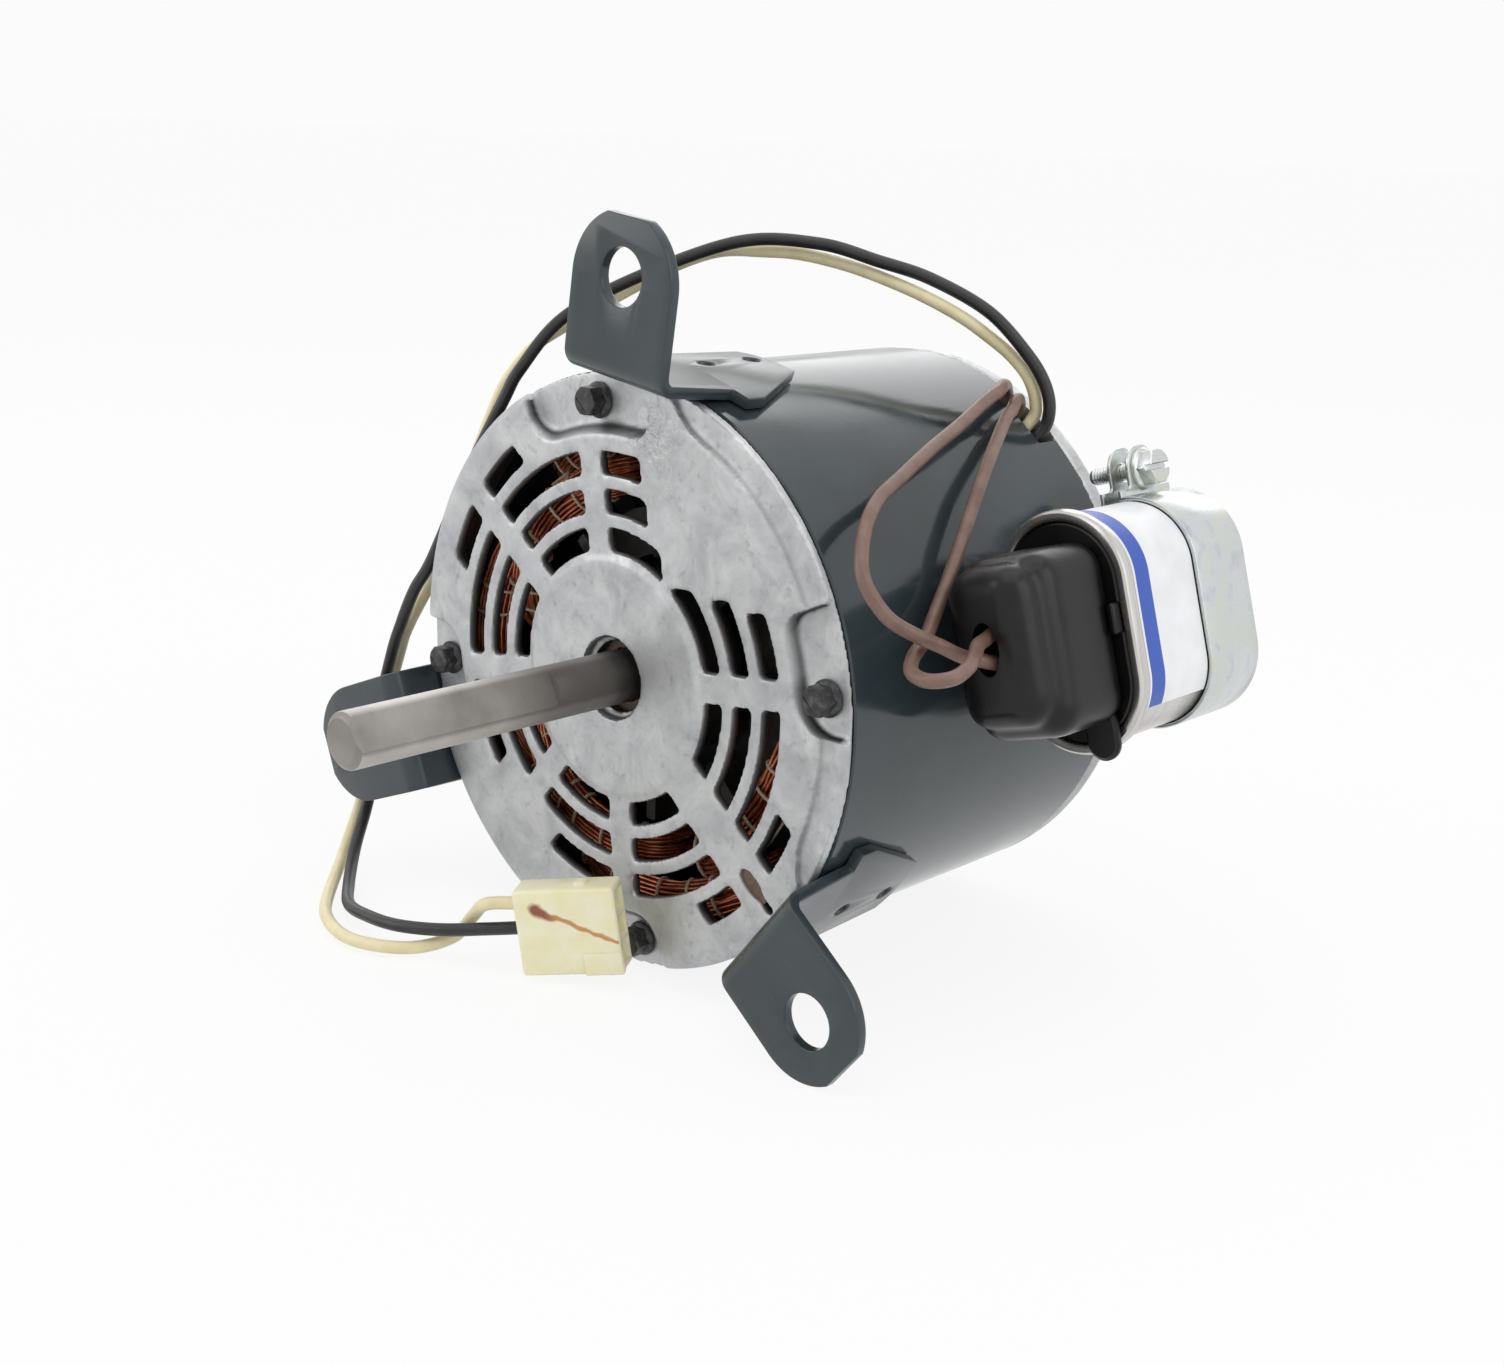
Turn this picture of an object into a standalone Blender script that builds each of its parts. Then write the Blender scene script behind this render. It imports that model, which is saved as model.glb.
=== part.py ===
"""Capacitor-run electric motor of a combustion fan.

Sizes are in millimetres and become metres when a mesh is made.  +Z is up, the shaft runs along Y and points
to -Y, and the origin is the centre of the shaft's end face.  Angles turn about Y, from +X towards +Z.
"""
import math

import bmesh
import bpy
import numpy

for old_object in list(bpy.data.objects):
    bpy.data.objects.remove(old_object, do_unlink=True)

MM = 0.001
CLEARANCE = 0.3  # between pieces that touch or fit

# Shell and end shields
SHELL_RADIUS = 71.0
SHELL_WALL = 1.5
RIM_DEPTH = 3.9  # front shield's rim, ahead of the shell
RIM_LAND = 0.6  # straight part of a rim, behind its rounded edge
REAR_RIM_DEPTH = 6.2
RIM_THICKNESS = 7.0
WEB = 4.0
SPIGOT_DEPTH = 8.0
SPIGOT_WALL = 2.2
BOSS_RADIUS = 28.0
BOSS_HEIGHT = 1.0
HUB_WALL = 3.0
HUB_OPENING_MARGIN = 3.65  # hub opening beyond the shaft
CLOCK = 8.35  # angle of the first bolt and of the first coil
BOLT_COUNT = 4

# Ventilation slots and bolt pockets
SLOT_WIDTH = 5.5
SLOT_BOSS_MARGIN = 2.0
SLOT_RIM_MARGIN = 9.1
SLOT_STEPS = 3
RIB_WIDTH = 7.2
WIDE_RIB_WIDTH = 11.5
RIB_ANGLES = (8.1, 53.2, 100.4, 144.6, 189.4, 231.7, 275.7, 321.0)
SHORT_SLOT_REACH = 19.0  # far end of an outer slot, from the axis of its rib
RIGHT_SLOT_REACHES = (22.0, 20.1, 17.8)  # the same beside the plain sector, from the hub outwards
TOP_SLOT_REACHES = (20.1, 17.1, 16.4)
PLAIN_CORNER_REACH = 12.7
POCKET_DEPTH = 3.2
POCKET_STEPS = 10
POCKET_SQUARENESS = 0.3  # 1 is a half oval, 0 has square corners
POCKET_SPANS = ((-7.4, 17.1), (-17.0, 20.0), (-9.0, 15.0), (-17.1, 7.4))  # from each bolt, in degrees
SLIT_WIDTH = 4.0
SLIT_LENGTH = 11.0

# Through bolts
BOLT_INSET = 6.5  # from the shell's outside to a bolt's axis
BOLT_DIAMETER = 4.16
BOLT_HEX = 6.35
BOLT_FLANGE = 8.5
BOLT_FLANGE_HEIGHT = 1.2
BOLT_HEAD_HEIGHT = 3.6
HEX_CHAMFER = 0.5  # on the outer edge of a hexagon head
BOLT_TAIL = 4.5
NUT_HEX = 8.7
NUT_HEIGHT = 3.2

# Shaft, bearings and rotor
SHAFT_EXTENSION = 76.0
SHAFT_DIAMETER = 12.7
SHAFT_SHOULDER = 1.65
SHAFT_CHAMFER = 1.0
FLAT_DEPTH = 1.4
FLAT_LENGTH = 54.0
FLAT_RUNOUT = 4.0
FLAT_ANGLE = 29.15
BUSH_WALL = 5.35
BUSH_LENGTH = 16.7
FELT_THICKNESS = 6.4
RETAINER_THICKNESS = 0.8
RETAINER_INSET = 2.2
WASHER_THICKNESS = 1.2
COLLAR_WALL = 5.0
FRONT_COLLAR_LENGTH = 5.0
REAR_COLLAR_LENGTH = 11.2
AIR_GAP = 0.4
BAR_COUNT = 16
BAR_WIDTH = 4.0
BAR_DEPTH = 5.1
BAR_COVER = 1.0
END_RING_WIDTH = 8.0
RING_HUB_CLEARANCE = 5.0  # from the shields' hubs to the cage's end rings
BLADE_COUNT = 8
BLADE_WIDTH = 3.0
BLADE_HEIGHT = 6.0

# Stator and windings
STACK_LENGTH = 50.0
TOOTH_TIP = 2.42  # from the start coils to the bore
POLE_COUNT = 4
SLOTS_PER_POLE = 6
COIL_TEETH = 5  # teeth inside one coil
COIL_DIAMETER = 4.2
COIL_SPACING = 0.8
COIL_SLOT_CLEARANCE = 0.4
COIL_LOOPS = 2
COIL_END_RUN = 6.0
END_TURN_CLEARANCE = 4.0
END_TURN_STEPS = 10
END_TURN_SQUARENESS = 0.6
LEAD_SPACE = 14.0

# Mounting lugs
LUG_ANGLES = {"top": 82.5, "left": 202.5, "right": -37.5}
LUG_THICKNESS = 2.7
LUG_HALF_WIDTH = 15.5
LUG_OVERHANG = 11.5  # front of the ear, ahead of the shield's face
LUG_BEND = 2.0
LUG_COLUMNS = 5
LUG_HOLE_DIAMETER = 12.7
LUG_HOLE_RADIUS = 94.3  # distance of the hole from the motor's axis
EAR_CENTRE_DROP = 1.3  # centre of the ear's round top, inside the hole's centre
EAR_FLAT_WIDTH = 12.4  # flat cut across the round top
WING_HALF_WIDTH = 19.5
WING_START = 11.0
WING_LENGTH = 6.0
WING_SHOULDER = 1.0  # length over which the foot widens into its wings
FOOT_LENGTH = 38.0
FOOT_END_HALF_WIDTH = 9.0
WELD_DIAMETER = 4.4
WELD_FLOOR_DIAMETER = 2.9
WELD_DEPTH = 1.3
WELD_PLACES = (18.0, 33.0)

# Lead notch in the shell's rear edge
NOTCH_ANGLE = 55.75
NOTCH_SPAN = 14.5
NOTCH_DEPTH = 7.5

# Capacitor and its strap
CAPACITOR_ANGLE = 17.3
CAPACITOR_OFFSET = -7.4  # along the tangent
CAPACITOR_OVERHANG = 3.9  # past the shell's rear edge
CAN_HALF_LENGTH = 26.4
CAN_HALF_WIDTH = 15.6
CAN_LENGTH = 51.4
CAN_WALL = 0.8
CAN_CORNER = 1.6
SEAM_LIP = 1.1
SEAM_HEIGHT = 3.5
LID_RECESS = 2.0
LID_THICKNESS = 1.2
TERMINAL_SPACING = 18.0
TERMINAL_BASE = (6.0, 9.0, 2.0)
TERMINAL_BLADE = (0.9, 6.3, 8.0)
STRAP_THICKNESS = 0.9
STRAP_WIDTH = 21.4
STRAP_EAR_HEIGHT = 11.0
STRAP_EAR_WIDTH = 12.0
STRAP_EAR_INNER = -7.1  # facing sides of the two ears, across the can
STRAP_EAR_OUTER = -1.0
STRAP_SCREW_HEIGHT = 5.8
STRAP_SCREW_DIAMETER = 4.2
STRAP_SCREW_LENGTH = 14.0
STRAP_SCREW_HEX = 8.0
STRAP_SCREW_HEAD_HEIGHT = 3.8
STRAP_SCREW_FLANGE = 10.0
STRAP_SCREW_FLANGE_HEIGHT = 1.2
BOOT_WALL = 2.0
BOOT_SQUARENESS = 0.5
BOOT_LENGTH = 32.6
BOOT_FRONT_LENGTH = 7.0
BOOT_FRONT_HALF = (10.6, 17.9)
BOOT_REAR_HALF = (12.5, 20.0)
BOOT_FRONT_RISE = 0.9
BOOT_HOLE_HALF = (3.3, 5.8)
BOOT_HOLE_PLACE = (0.3, 1.4)

# Leads and plug
LEAD_DIAMETER = 3.2
LEAD_POINT_SPACING = 9.0
CAPACITOR_LEAD_POINT_SPACING = 6.4
ROUTE_STEPS = 12  # points of the smooth curve in each stretch of a route
PLUG_CORNER = (-4.2, 53.0, -70.8)
PLUG_AZIMUTH = 32.0
PLUG_TILT = 9.0
PLUG_LENGTH = 25.0
PLUG_THICKNESS = 8.6
PLUG_HEIGHT = 21.6
PLUG_CHAMFER = 0.8
PLUG_PITCH = 6.35
PLUG_LEAD_DEPTH = 6.0
PLUG_CONTACT_RECESS = 3.0

BLACK_ROUTE = (
    (39.6, 173, 47.7), (44.9, 177.8, 55), (46.4, 178.6, 60.6), (44.8, 178, 67.2), (40.4, 175.4, 74.5),
    (31.6, 170.4, 84), (18, 164, 91), (6, 158, 94.5), (-7, 150, 98), (-24, 139, 97.5), (-42, 122, 88),
    (-55, 108, 77), (-61, 99, 64), (-64, 96, 56), (-70, 90, 38), (-77, 83, 14), (-81, 80, 5), (-85, 78.5, -5),
    (-88, 77.5, -14), (-91.5, 75, -33), (-91, 72, -52), (-84, 62, -63.5), (-73, 52, -68.4), (-62, 44.5, -68.2),
    (-50, 41.5, -66.6), (-38, 41.5, -65.2), (-26, 45.5, -63.6), (-14.6, 51.6, -61.4), (-7.9, 55.75, -60.1),
    (-2.9, 58.9, -59.2),
)
CREAM_ROUTE = (
    (36.5, 173, 50.1), (41.6, 177.6, 57.4), (42.4, 178.4, 61.8), (40.1, 177.8, 68), (36, 175.3, 73.4),
    (31, 171.6, 78), (26, 167.8, 82), (18.6, 164, 85.9), (9.2, 161, 89.3),
    (-2, 156.5, 92.7), (-12.7, 150, 95), (-21.9, 145, 95.2), (-31.2, 140, 94.7), (-38.4, 133, 91.3),
    (-45.2, 125.5, 85.9), (-51.4, 117.5, 80.1), (-58.7, 110.5, 73.9), (-63.2, 105.8, 69.3), (-65.9, 101, 63),
    (-68.4, 97.5, 55.2), (-74, 92, 34), (-79.1, 87.3, 12.4), (-87.3, 82.8, -6.2), (-90.5, 81.8, -15.1),
    (-95.3, 77.5, -39.4), (-95.4, 72.8, -54.4), (-87, 60, -66.4), (-70.4, 43.5, -69.2), (-60, 36.5, -69.2),
    (-48, 33.5, -69.2), (-38, 36.5, -69.2), (-31, 43, -69), (-26, 49.8, -66.4), (-21.5, 52, -60.2), (-15.5, 51, -55.1),
    (-8.8, 55.2, -53.9), (-3.8, 58.3, -52.9),
)
BROWN_ROUTES = (
    (
        (29.9, 174, 54.3), (33.6, 177.4, 61.6), (35.2, 175.4, 65.2), (37.6, 170.8, 66.6), (41.3, 164, 66),
        (43.4, 155.6, 64.2), (47.7, 140.5, 60.5), (52.7, 123.2, 56.9), (57.4, 107, 52.8), (60.4, 96.8, 50.2),
        (63.7, 89.1, 46.7), (67.5, 83.1, 42.1), (70.7, 79.9, 37.4), (73.3, 80.1, 33.2), (76.4, 82.7, 28.5),
        (79.6, 87.3, 25.2), (81.9, 93, 22.4), (83.8, 98.5, 19.6), (86.6, 103.5, 18.2), (87.4, 110, 16),
        (88.5, 118, 12.2), (89, 125.6, 10.5),
    ),
    (
        (33.3, 174, 52.3), (37.5, 177.5, 59.3), (39.4, 175.2, 62.8), (42.1, 170.1, 63.1), (45, 164.5, 61.6),
        (47.3, 158.9, 60.1), (57.3, 138.5, 51.5), (64.3, 122.8, 40.5), (67.7, 113.2, 31), (69.3, 108.8, 27.4),
        (71.6, 103.3, 23.8), (74.5, 97.5, 21.6), (78.5, 88.5, 19.8), (83.4, 82.2, 18.8), (88.9, 80.6, 18.6),
        (92.6, 83.8, 19.4), (92.4, 89, 20.6), (90, 94.4, 21.9), (87.2, 99.3, 22.7), (85.7, 104, 22.8),
        (84.8, 111, 25), (83.9, 118, 27), (83.6, 125.6, 27.7),
    ),
)

# Roundness of turned pieces
LARGE_SEGMENTS = 36
SMALL_SEGMENTS = 16
HEX_SEGMENTS = 12
OVAL_SEGMENTS = 20
CUT_MARGIN = 2.0  # how far a cutter reaches past what it cuts
FLAT_ENOUGH = math.radians(0.2)  # a face bent more than this is split
SHARP_ANGLE = math.radians(35)  # edges bent more than this are shaded sharp

# Places worked out along the shaft
FACE = SHAFT_EXTENSION
SHAFT_RADIUS = SHAFT_DIAMETER / 2
FRONT_BUSH = FACE + WEB + CLEARANCE
HUB_END = FRONT_BUSH + BUSH_LENGTH
FRONT_WASHER = HUB_END + CLEARANCE
FRONT_COLLAR = FRONT_WASHER + WASHER_THICKNESS + CLEARANCE
STACK_START = FRONT_COLLAR + FRONT_COLLAR_LENGTH + CLEARANCE
STACK_END = STACK_START + STACK_LENGTH
REAR_COLLAR = STACK_END + CLEARANCE
REAR_WASHER = REAR_COLLAR + REAR_COLLAR_LENGTH + CLEARANCE
REAR_BUSH = REAR_WASHER + WASHER_THICKNESS + CLEARANCE
REAR_WEB = REAR_BUSH + BUSH_LENGTH + CLEARANCE
REAR_FACE = REAR_WEB + WEB
REAR_RIM = REAR_FACE - REAR_RIM_DEPTH
SHELL_START = FACE + RIM_DEPTH + CLEARANCE
SHELL_END = REAR_RIM - CLEARANCE

# Radii worked out from the shaft outwards and from the shell inwards
BUSH_BORE = SHAFT_RADIUS + CLEARANCE
BUSH_RADIUS = BUSH_BORE + BUSH_WALL
HOUSING_RADIUS = BUSH_RADIUS + FELT_THICKNESS + 2 * CLEARANCE
HUB_RADIUS = HOUSING_RADIUS + HUB_WALL
HUB_OPENING = SHAFT_RADIUS + HUB_OPENING_MARGIN
SPIGOT_RADIUS = SHELL_RADIUS - SHELL_WALL - CLEARANCE
BOLT_CIRCLE = SHELL_RADIUS - BOLT_INSET
BOLT_HOLE = BOLT_DIAMETER / 2 + CLEARANCE
FIRST_SLOT = BOSS_RADIUS + SLOT_BOSS_MARGIN
SLOT_PITCH = (SHELL_RADIUS - SLOT_RIM_MARGIN - SLOT_WIDTH - FIRST_SLOT) / 3
RIM_INNER = FIRST_SLOT + 3 * SLOT_PITCH - (SLOT_PITCH - SLOT_WIDTH) / 2
COIL_PITCH = COIL_DIAMETER + COIL_SPACING
MAIN_COIL_RADIUS = BOLT_CIRCLE - BOLT_DIAMETER / 2 - COIL_SPACING - COIL_DIAMETER / 2 - COIL_PITCH
START_COIL_RADIUS = MAIN_COIL_RADIUS - COIL_LOOPS * COIL_PITCH
BORE_RADIUS = START_COIL_RADIUS - COIL_DIAMETER / 2 - TOOTH_TIP
ROTOR_RADIUS = BORE_RADIUS - AIR_GAP
CAGE_RADIUS = ROTOR_RADIUS - BAR_COVER
END_RING_BORE = HUB_RADIUS + RING_HUB_CLEARANCE
STATOR_SLOTS = POLE_COUNT * SLOTS_PER_POLE
COIL_HALF_SPAN = COIL_TEETH * 180 / STATOR_SLOTS
STATOR_SLOT_BOTTOM = MAIN_COIL_RADIUS + COIL_PITCH + COIL_DIAMETER / 2 + COIL_SLOT_CLEARANCE
CAPACITOR_RADIUS = SHELL_RADIUS + CLEARANCE + STRAP_THICKNESS + CLEARANCE + CAN_HALF_WIDTH
CAN_END = SHELL_END + CAPACITOR_OVERHANG
CAN_START = CAN_END - CAN_LENGTH
LID_FACE = CAN_START + LID_RECESS
STRAP_START = CAN_END + CLEARANCE - STRAP_WIDTH


# Looks

def linear(channel):
    """Linear value of one sRGB channel from 0 to 255."""
    value = channel / 255
    if value <= 0.04045:
        return value / 12.92
    return ((value + 0.055) / 1.055) ** 2.4


def make_look(name, colour, roughness, metallic=0.0):
    material = bpy.data.materials.new(name)
    material.use_nodes = True
    shader = material.node_tree.nodes["Principled BSDF"]
    channels = [int(colour[i:i + 2], 16) for i in (0, 2, 4)]
    shader.inputs["Base Color"].default_value = [linear(channel) for channel in channels] + [1.0]
    shader.inputs["Roughness"].default_value = roughness
    shader.inputs["Metallic"].default_value = metallic
    return material


PAINT = make_look("grey_green_paint", "4d585d", 0.35)
CASTING = make_look("cast_aluminium", "a3a5a7", 0.5, 0.9)
BLACK_STEEL = make_look("black_oxide_steel", "35363a", 0.45, 0.6)
SHAFT_STEEL = make_look("ground_steel", "77736f", 0.35, 0.9)
LAMINATION = make_look("lamination_steel", "4a4a4c", 0.55, 0.7)
COPPER = make_look("enamelled_copper", "8a4a32", 0.4, 0.5)
BRONZE = make_look("sintered_bronze", "8c6f46", 0.55, 0.8)
FELT = make_look("oiled_felt", "8d8470", 0.95)
ZINC = make_look("zinc_plated_steel", "c9cbcd", 0.25, 0.95)
FILM = make_look("film_roll", "cfc8b4", 0.5)
PHENOLIC = make_look("phenolic_lid", "2b2522", 0.5)
RUBBER = make_look("black_rubber", "1d1c1e", 0.4)
TIN = make_look("tinned_brass", "c2bfae", 0.3, 0.9)
BROWN_INSULATION = make_look("brown_insulation", "a08073", 0.5)
BLACK_INSULATION = make_look("black_insulation", "242325", 0.5)
CREAM_INSULATION = make_look("cream_insulation", "e2d6a8", 0.5)
NYLON = make_look("natural_nylon", "f0e7bd", 0.4)


# Basic shapes

def polar(radius, angle):
    """x and z of a point at an angle about the shaft."""
    return radius * math.cos(math.radians(angle)), radius * math.sin(math.radians(angle))


def circle(radius, y, segments):
    turns = [360 * i / segments for i in range(segments)]
    return [(x, y, z) for x, z in (polar(radius, turn) for turn in turns)]


def hexagon(across_flats, y):
    """Hexagon with a point at each corner and at the middle of each side."""
    ring = []
    for i in range(HEX_SEGMENTS):
        radius = across_flats / 2 if i % 2 else across_flats / math.sqrt(3)
        x, z = polar(radius, 30 * i)
        ring.append((x, y, z))
    return ring


def stadium(half_width, half_length, y):
    """Oval of two half circles joined by straight sides, long along Z."""
    ring = []
    for i in range(OVAL_SEGMENTS):
        turn = 360 * (i + 0.5) / OVAL_SEGMENTS
        x, z = polar(half_width, turn)
        ring.append((x, y, z + math.copysign(half_length - half_width, z)))
    return ring


def soft_rectangle(half_width, half_length, y, rise=0.0):
    """Rectangle with well rounded corners, long along Z."""
    ring = []
    for i in range(OVAL_SEGMENTS):
        cosine, sine = polar(1.0, 360 * (i + 0.5) / OVAL_SEGMENTS)
        x = half_width * math.copysign(abs(cosine) ** BOOT_SQUARENESS, cosine)
        z = half_length * math.copysign(abs(sine) ** BOOT_SQUARENESS, sine)
        ring.append((x, y, z + rise))
    return ring


def add_mesh(name, points, faces, look=None):
    mesh = bpy.data.meshes.new(name)
    mesh.from_pydata([(x * MM, y * MM, z * MM) for x, y, z in points], [], faces)
    shape = bmesh.new()
    shape.from_mesh(mesh)
    bmesh.ops.connect_verts_nonplanar(shape, angle_limit=FLAT_ENOUGH, faces=shape.faces)
    bmesh.ops.recalc_face_normals(shape, faces=shape.faces)
    shape.to_mesh(mesh)
    shape.free()
    mesh.shade_smooth()
    mesh.set_sharp_from_angle(angle=SHARP_ANGLE)
    if look:
        mesh.materials.append(look)
    return add_object(name, mesh)


def add_object(name, data):
    item = bpy.data.objects.new(name, data)
    bpy.context.collection.objects.link(item)
    return item


def cap_faces(first, count, strip):
    """One face over a ring, or for a flat strip a row of faces between its two sides."""
    if not strip:
        return [tuple(range(first, first + count))]
    last = first + count - 1
    return [(first + j, first + j + 1, last - j - 1, last - j) for j in range(count // 2 - 1)]


def loft(name, rings, look=None, hollow=False, strip=False):
    """Skin over rings of equal counts, with end caps, or joined round to the first ring where hollow."""
    count = len(rings[0])
    points = [point for ring in rings for point in ring]
    faces = []
    for i in range(len(rings) if hollow else len(rings) - 1):
        low = i * count
        high = (i + 1) % len(rings) * count
        for j in range(count):
            k = (j + 1) % count
            faces.append((low + j, low + k, high + k, high + j))
    if not hollow:
        faces += cap_faces(0, count, strip) + cap_faces(len(points) - count, count, strip)
    return add_mesh(name, points, faces, look)


def turned(name, profile, look=None, segments=SMALL_SEGMENTS):
    """Ring-shaped piece with a closed profile of radius and y."""
    return loft(name, [circle(radius, y, segments) for radius, y in profile], look, hollow=True)


def prisms(name, blocks, look=None):
    """Separate prisms in one mesh, each an outline in x and z between two y values."""
    points = []
    faces = []
    for outline, y_low, y_high in blocks:
        first = len(points)
        count = len(outline)
        points += [(x, y_low, z) for x, z in outline] + [(x, y_high, z) for x, z in outline]
        faces.append(tuple(range(first, first + count)))
        faces.append(tuple(range(first + count, first + 2 * count)))
        for j in range(count):
            k = (j + 1) % count
            faces.append((first + j, first + k, first + count + k, first + count + j))
    return add_mesh(name, points, faces, look)


def round_outline(radius, x, z, segments=HEX_SEGMENTS):
    turns = [360 * (i + 0.5) / segments for i in range(segments)]
    return [(x + dx, z + dz) for dx, dz in (polar(radius, turn) for turn in turns)]


def arc_block(inner, outer, low, high, steps=SLOT_STEPS):
    """Outline of a block between two radii and two angles."""
    angles = [low + (high - low) * i / steps for i in range(steps + 1)]
    return [polar(inner, angle) for angle in angles] + [polar(outer, angle) for angle in reversed(angles)]


def cut(target, cutter):
    cutter.hide_render = True
    cutter.display_type = "WIRE"
    modifier = target.modifiers.new(cutter.name, "BOOLEAN")
    modifier.operation = "DIFFERENCE"
    modifier.object = cutter


def turn(item, angle):
    item.rotation_euler.y = -math.radians(angle)


# Shell

def make_shell():
    inner = SHELL_RADIUS - SHELL_WALL
    profile = [(SHELL_RADIUS, y) for y in (SHELL_START, SHELL_END)]
    profile += [(inner, y) for y in (SHELL_END, SHELL_START)]
    shell = turned("motor_shell", profile, PAINT, LARGE_SEGMENTS)
    cut(shell, lead_notch("shell_notch", inner - CUT_MARGIN, SHELL_RADIUS + CUT_MARGIN))


def lead_notch(name, inner, outer):
    half = NOTCH_SPAN / 2
    outline = arc_block(inner, outer, NOTCH_ANGLE - half, NOTCH_ANGLE + half)
    return prisms(name, [(outline, SHELL_END - NOTCH_DEPTH, SHELL_END + CUT_MARGIN)])


# End shields

def rim_arc(edge, direction):
    """Rounded outer edge of a shield, from its face outwards."""
    radius = RIM_DEPTH - RIM_LAND
    arc = []
    for angle in (0, 30, 60, 90):
        across, along = polar(radius, angle)
        arc.append((SHELL_RADIUS - radius + along, edge + direction * (radius - across)))
    return arc


def make_front_shield():
    rim_back = FACE + RIM_DEPTH
    spigot_inner = SPIGOT_RADIUS - SPIGOT_WALL
    profile = [(HUB_OPENING, FACE - BOSS_HEIGHT), (BOSS_RADIUS, FACE - BOSS_HEIGHT)]
    profile += [(BOSS_RADIUS + BOSS_HEIGHT, FACE)] + rim_arc(FACE, 1)
    profile += [(SHELL_RADIUS, rim_back), (SPIGOT_RADIUS, rim_back)]
    profile += [(radius, rim_back + SPIGOT_DEPTH) for radius in (SPIGOT_RADIUS, spigot_inner)]
    profile += [(radius, FACE + RIM_THICKNESS) for radius in (spigot_inner, RIM_INNER)]
    profile += [(RIM_INNER, FACE + WEB), (HUB_RADIUS, FACE + WEB)]
    profile += [(HUB_RADIUS, HUB_END), (HOUSING_RADIUS, HUB_END)]
    profile += [(HOUSING_RADIUS, FACE + WEB), (HUB_OPENING, FACE + WEB)]
    shield = turned("front_end_shield", profile, CASTING, LARGE_SEGMENTS)
    start = FACE - CUT_MARGIN
    end = rim_back + SPIGOT_DEPTH + CUT_MARGIN
    holes = front_vents() + bolt_holes() + [slit_outline()]
    cut(shield, prisms("front_shield_holes", [(hole, start, end) for hole in holes]))
    floor = FACE + POCKET_DEPTH
    cut(shield, prisms("front_shield_pockets", [(pocket, start, floor) for pocket in pockets()]))


def rib_angle(rib):
    return RIB_ANGLES[rib % 8] + 360 * (rib // 8)


def slot_outline(ring, low, high):
    """Slot of one ring; an edge is a rib's number and a distance from the rib's axis, and parallel to it."""
    inner = FIRST_SLOT + ring * SLOT_PITCH

    def stretch(radius):
        ends = []
        for rib, offset in (low, high):
            ends.append(rib_angle(rib) + math.degrees(math.asin(offset / radius)))
        return [ends[0] + (ends[1] - ends[0]) * i / SLOT_STEPS for i in range(SLOT_STEPS + 1)]

    inside = [polar(inner, angle) for angle in stretch(inner)]
    outside = [polar(inner + SLOT_WIDTH, angle) for angle in stretch(inner + SLOT_WIDTH)]
    return inside + outside[::-1]


def front_vents():
    """Slots between the ribs; the upper right sector is partly plain, and so is the lower left corner."""
    half = RIB_WIDTH / 2
    wide = WIDE_RIB_WIDTH / 2
    reach = SHORT_SLOT_REACH
    vents = []
    for ring in range(3):
        corner = PLAIN_CORNER_REACH if ring == 2 else half
        edges = [((0, half), (0, RIGHT_SLOT_REACHES[ring])), ((2, -TOP_SLOT_REACHES[ring]), (2, -half))]
        edges += [((2, half), (3, -half))]
        edges += [((3, half), (4, -half)), ((4, half), (5, -corner)), ((5, corner), (6, -half))]
        edges += [((6, half), (7, -wide)), ((7, wide), (8, -half))]
        vents += [slot_outline(ring, low, high) for low, high in edges]
    for rib, edge in ((3, half), (7, wide)):
        vents.append(slot_outline(3, (rib, -reach), (rib, -edge)))
        vents.append(slot_outline(3, (rib, edge), (rib, reach)))
    return vents


def bolt_angles():
    return [CLOCK + 360 * i / BOLT_COUNT for i in range(BOLT_COUNT)]


def bolt_holes():
    return [round_outline(BOLT_HOLE, *polar(BOLT_CIRCLE, angle)) for angle in bolt_angles()]


def slit_outline():
    """Narrow radial slit on the wide rib."""
    middle = rib_angle(7)
    start = RIM_INNER + CLEARANCE
    outline = []
    for along, side in ((0, -1), (0, 1), (SLIT_LENGTH, 1), (SLIT_LENGTH, -1)):
        radius = start + along
        outline.append(polar(radius, middle + side * math.degrees(math.asin(SLIT_WIDTH / 2 / radius))))
    return outline


def pockets():
    """Open recesses in the rim round the bolt heads, with rounded inner corners."""
    outlines = []
    depth = SHELL_RADIUS + CUT_MARGIN - RIM_INNER
    for bolt, (low, high) in zip(bolt_angles(), POCKET_SPANS):
        outline = []
        for i in range(POCKET_STEPS + 1):
            across, down = polar(1.0, 180 * i / POCKET_STEPS)
            angle = bolt + (low + high) / 2 - across * (high - low) / 2
            inward = depth * max(down, 0.0) ** POCKET_SQUARENESS
            outline.append(polar(SHELL_RADIUS + CUT_MARGIN - inward, angle))
        outlines.append(outline)
    return outlines


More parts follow.
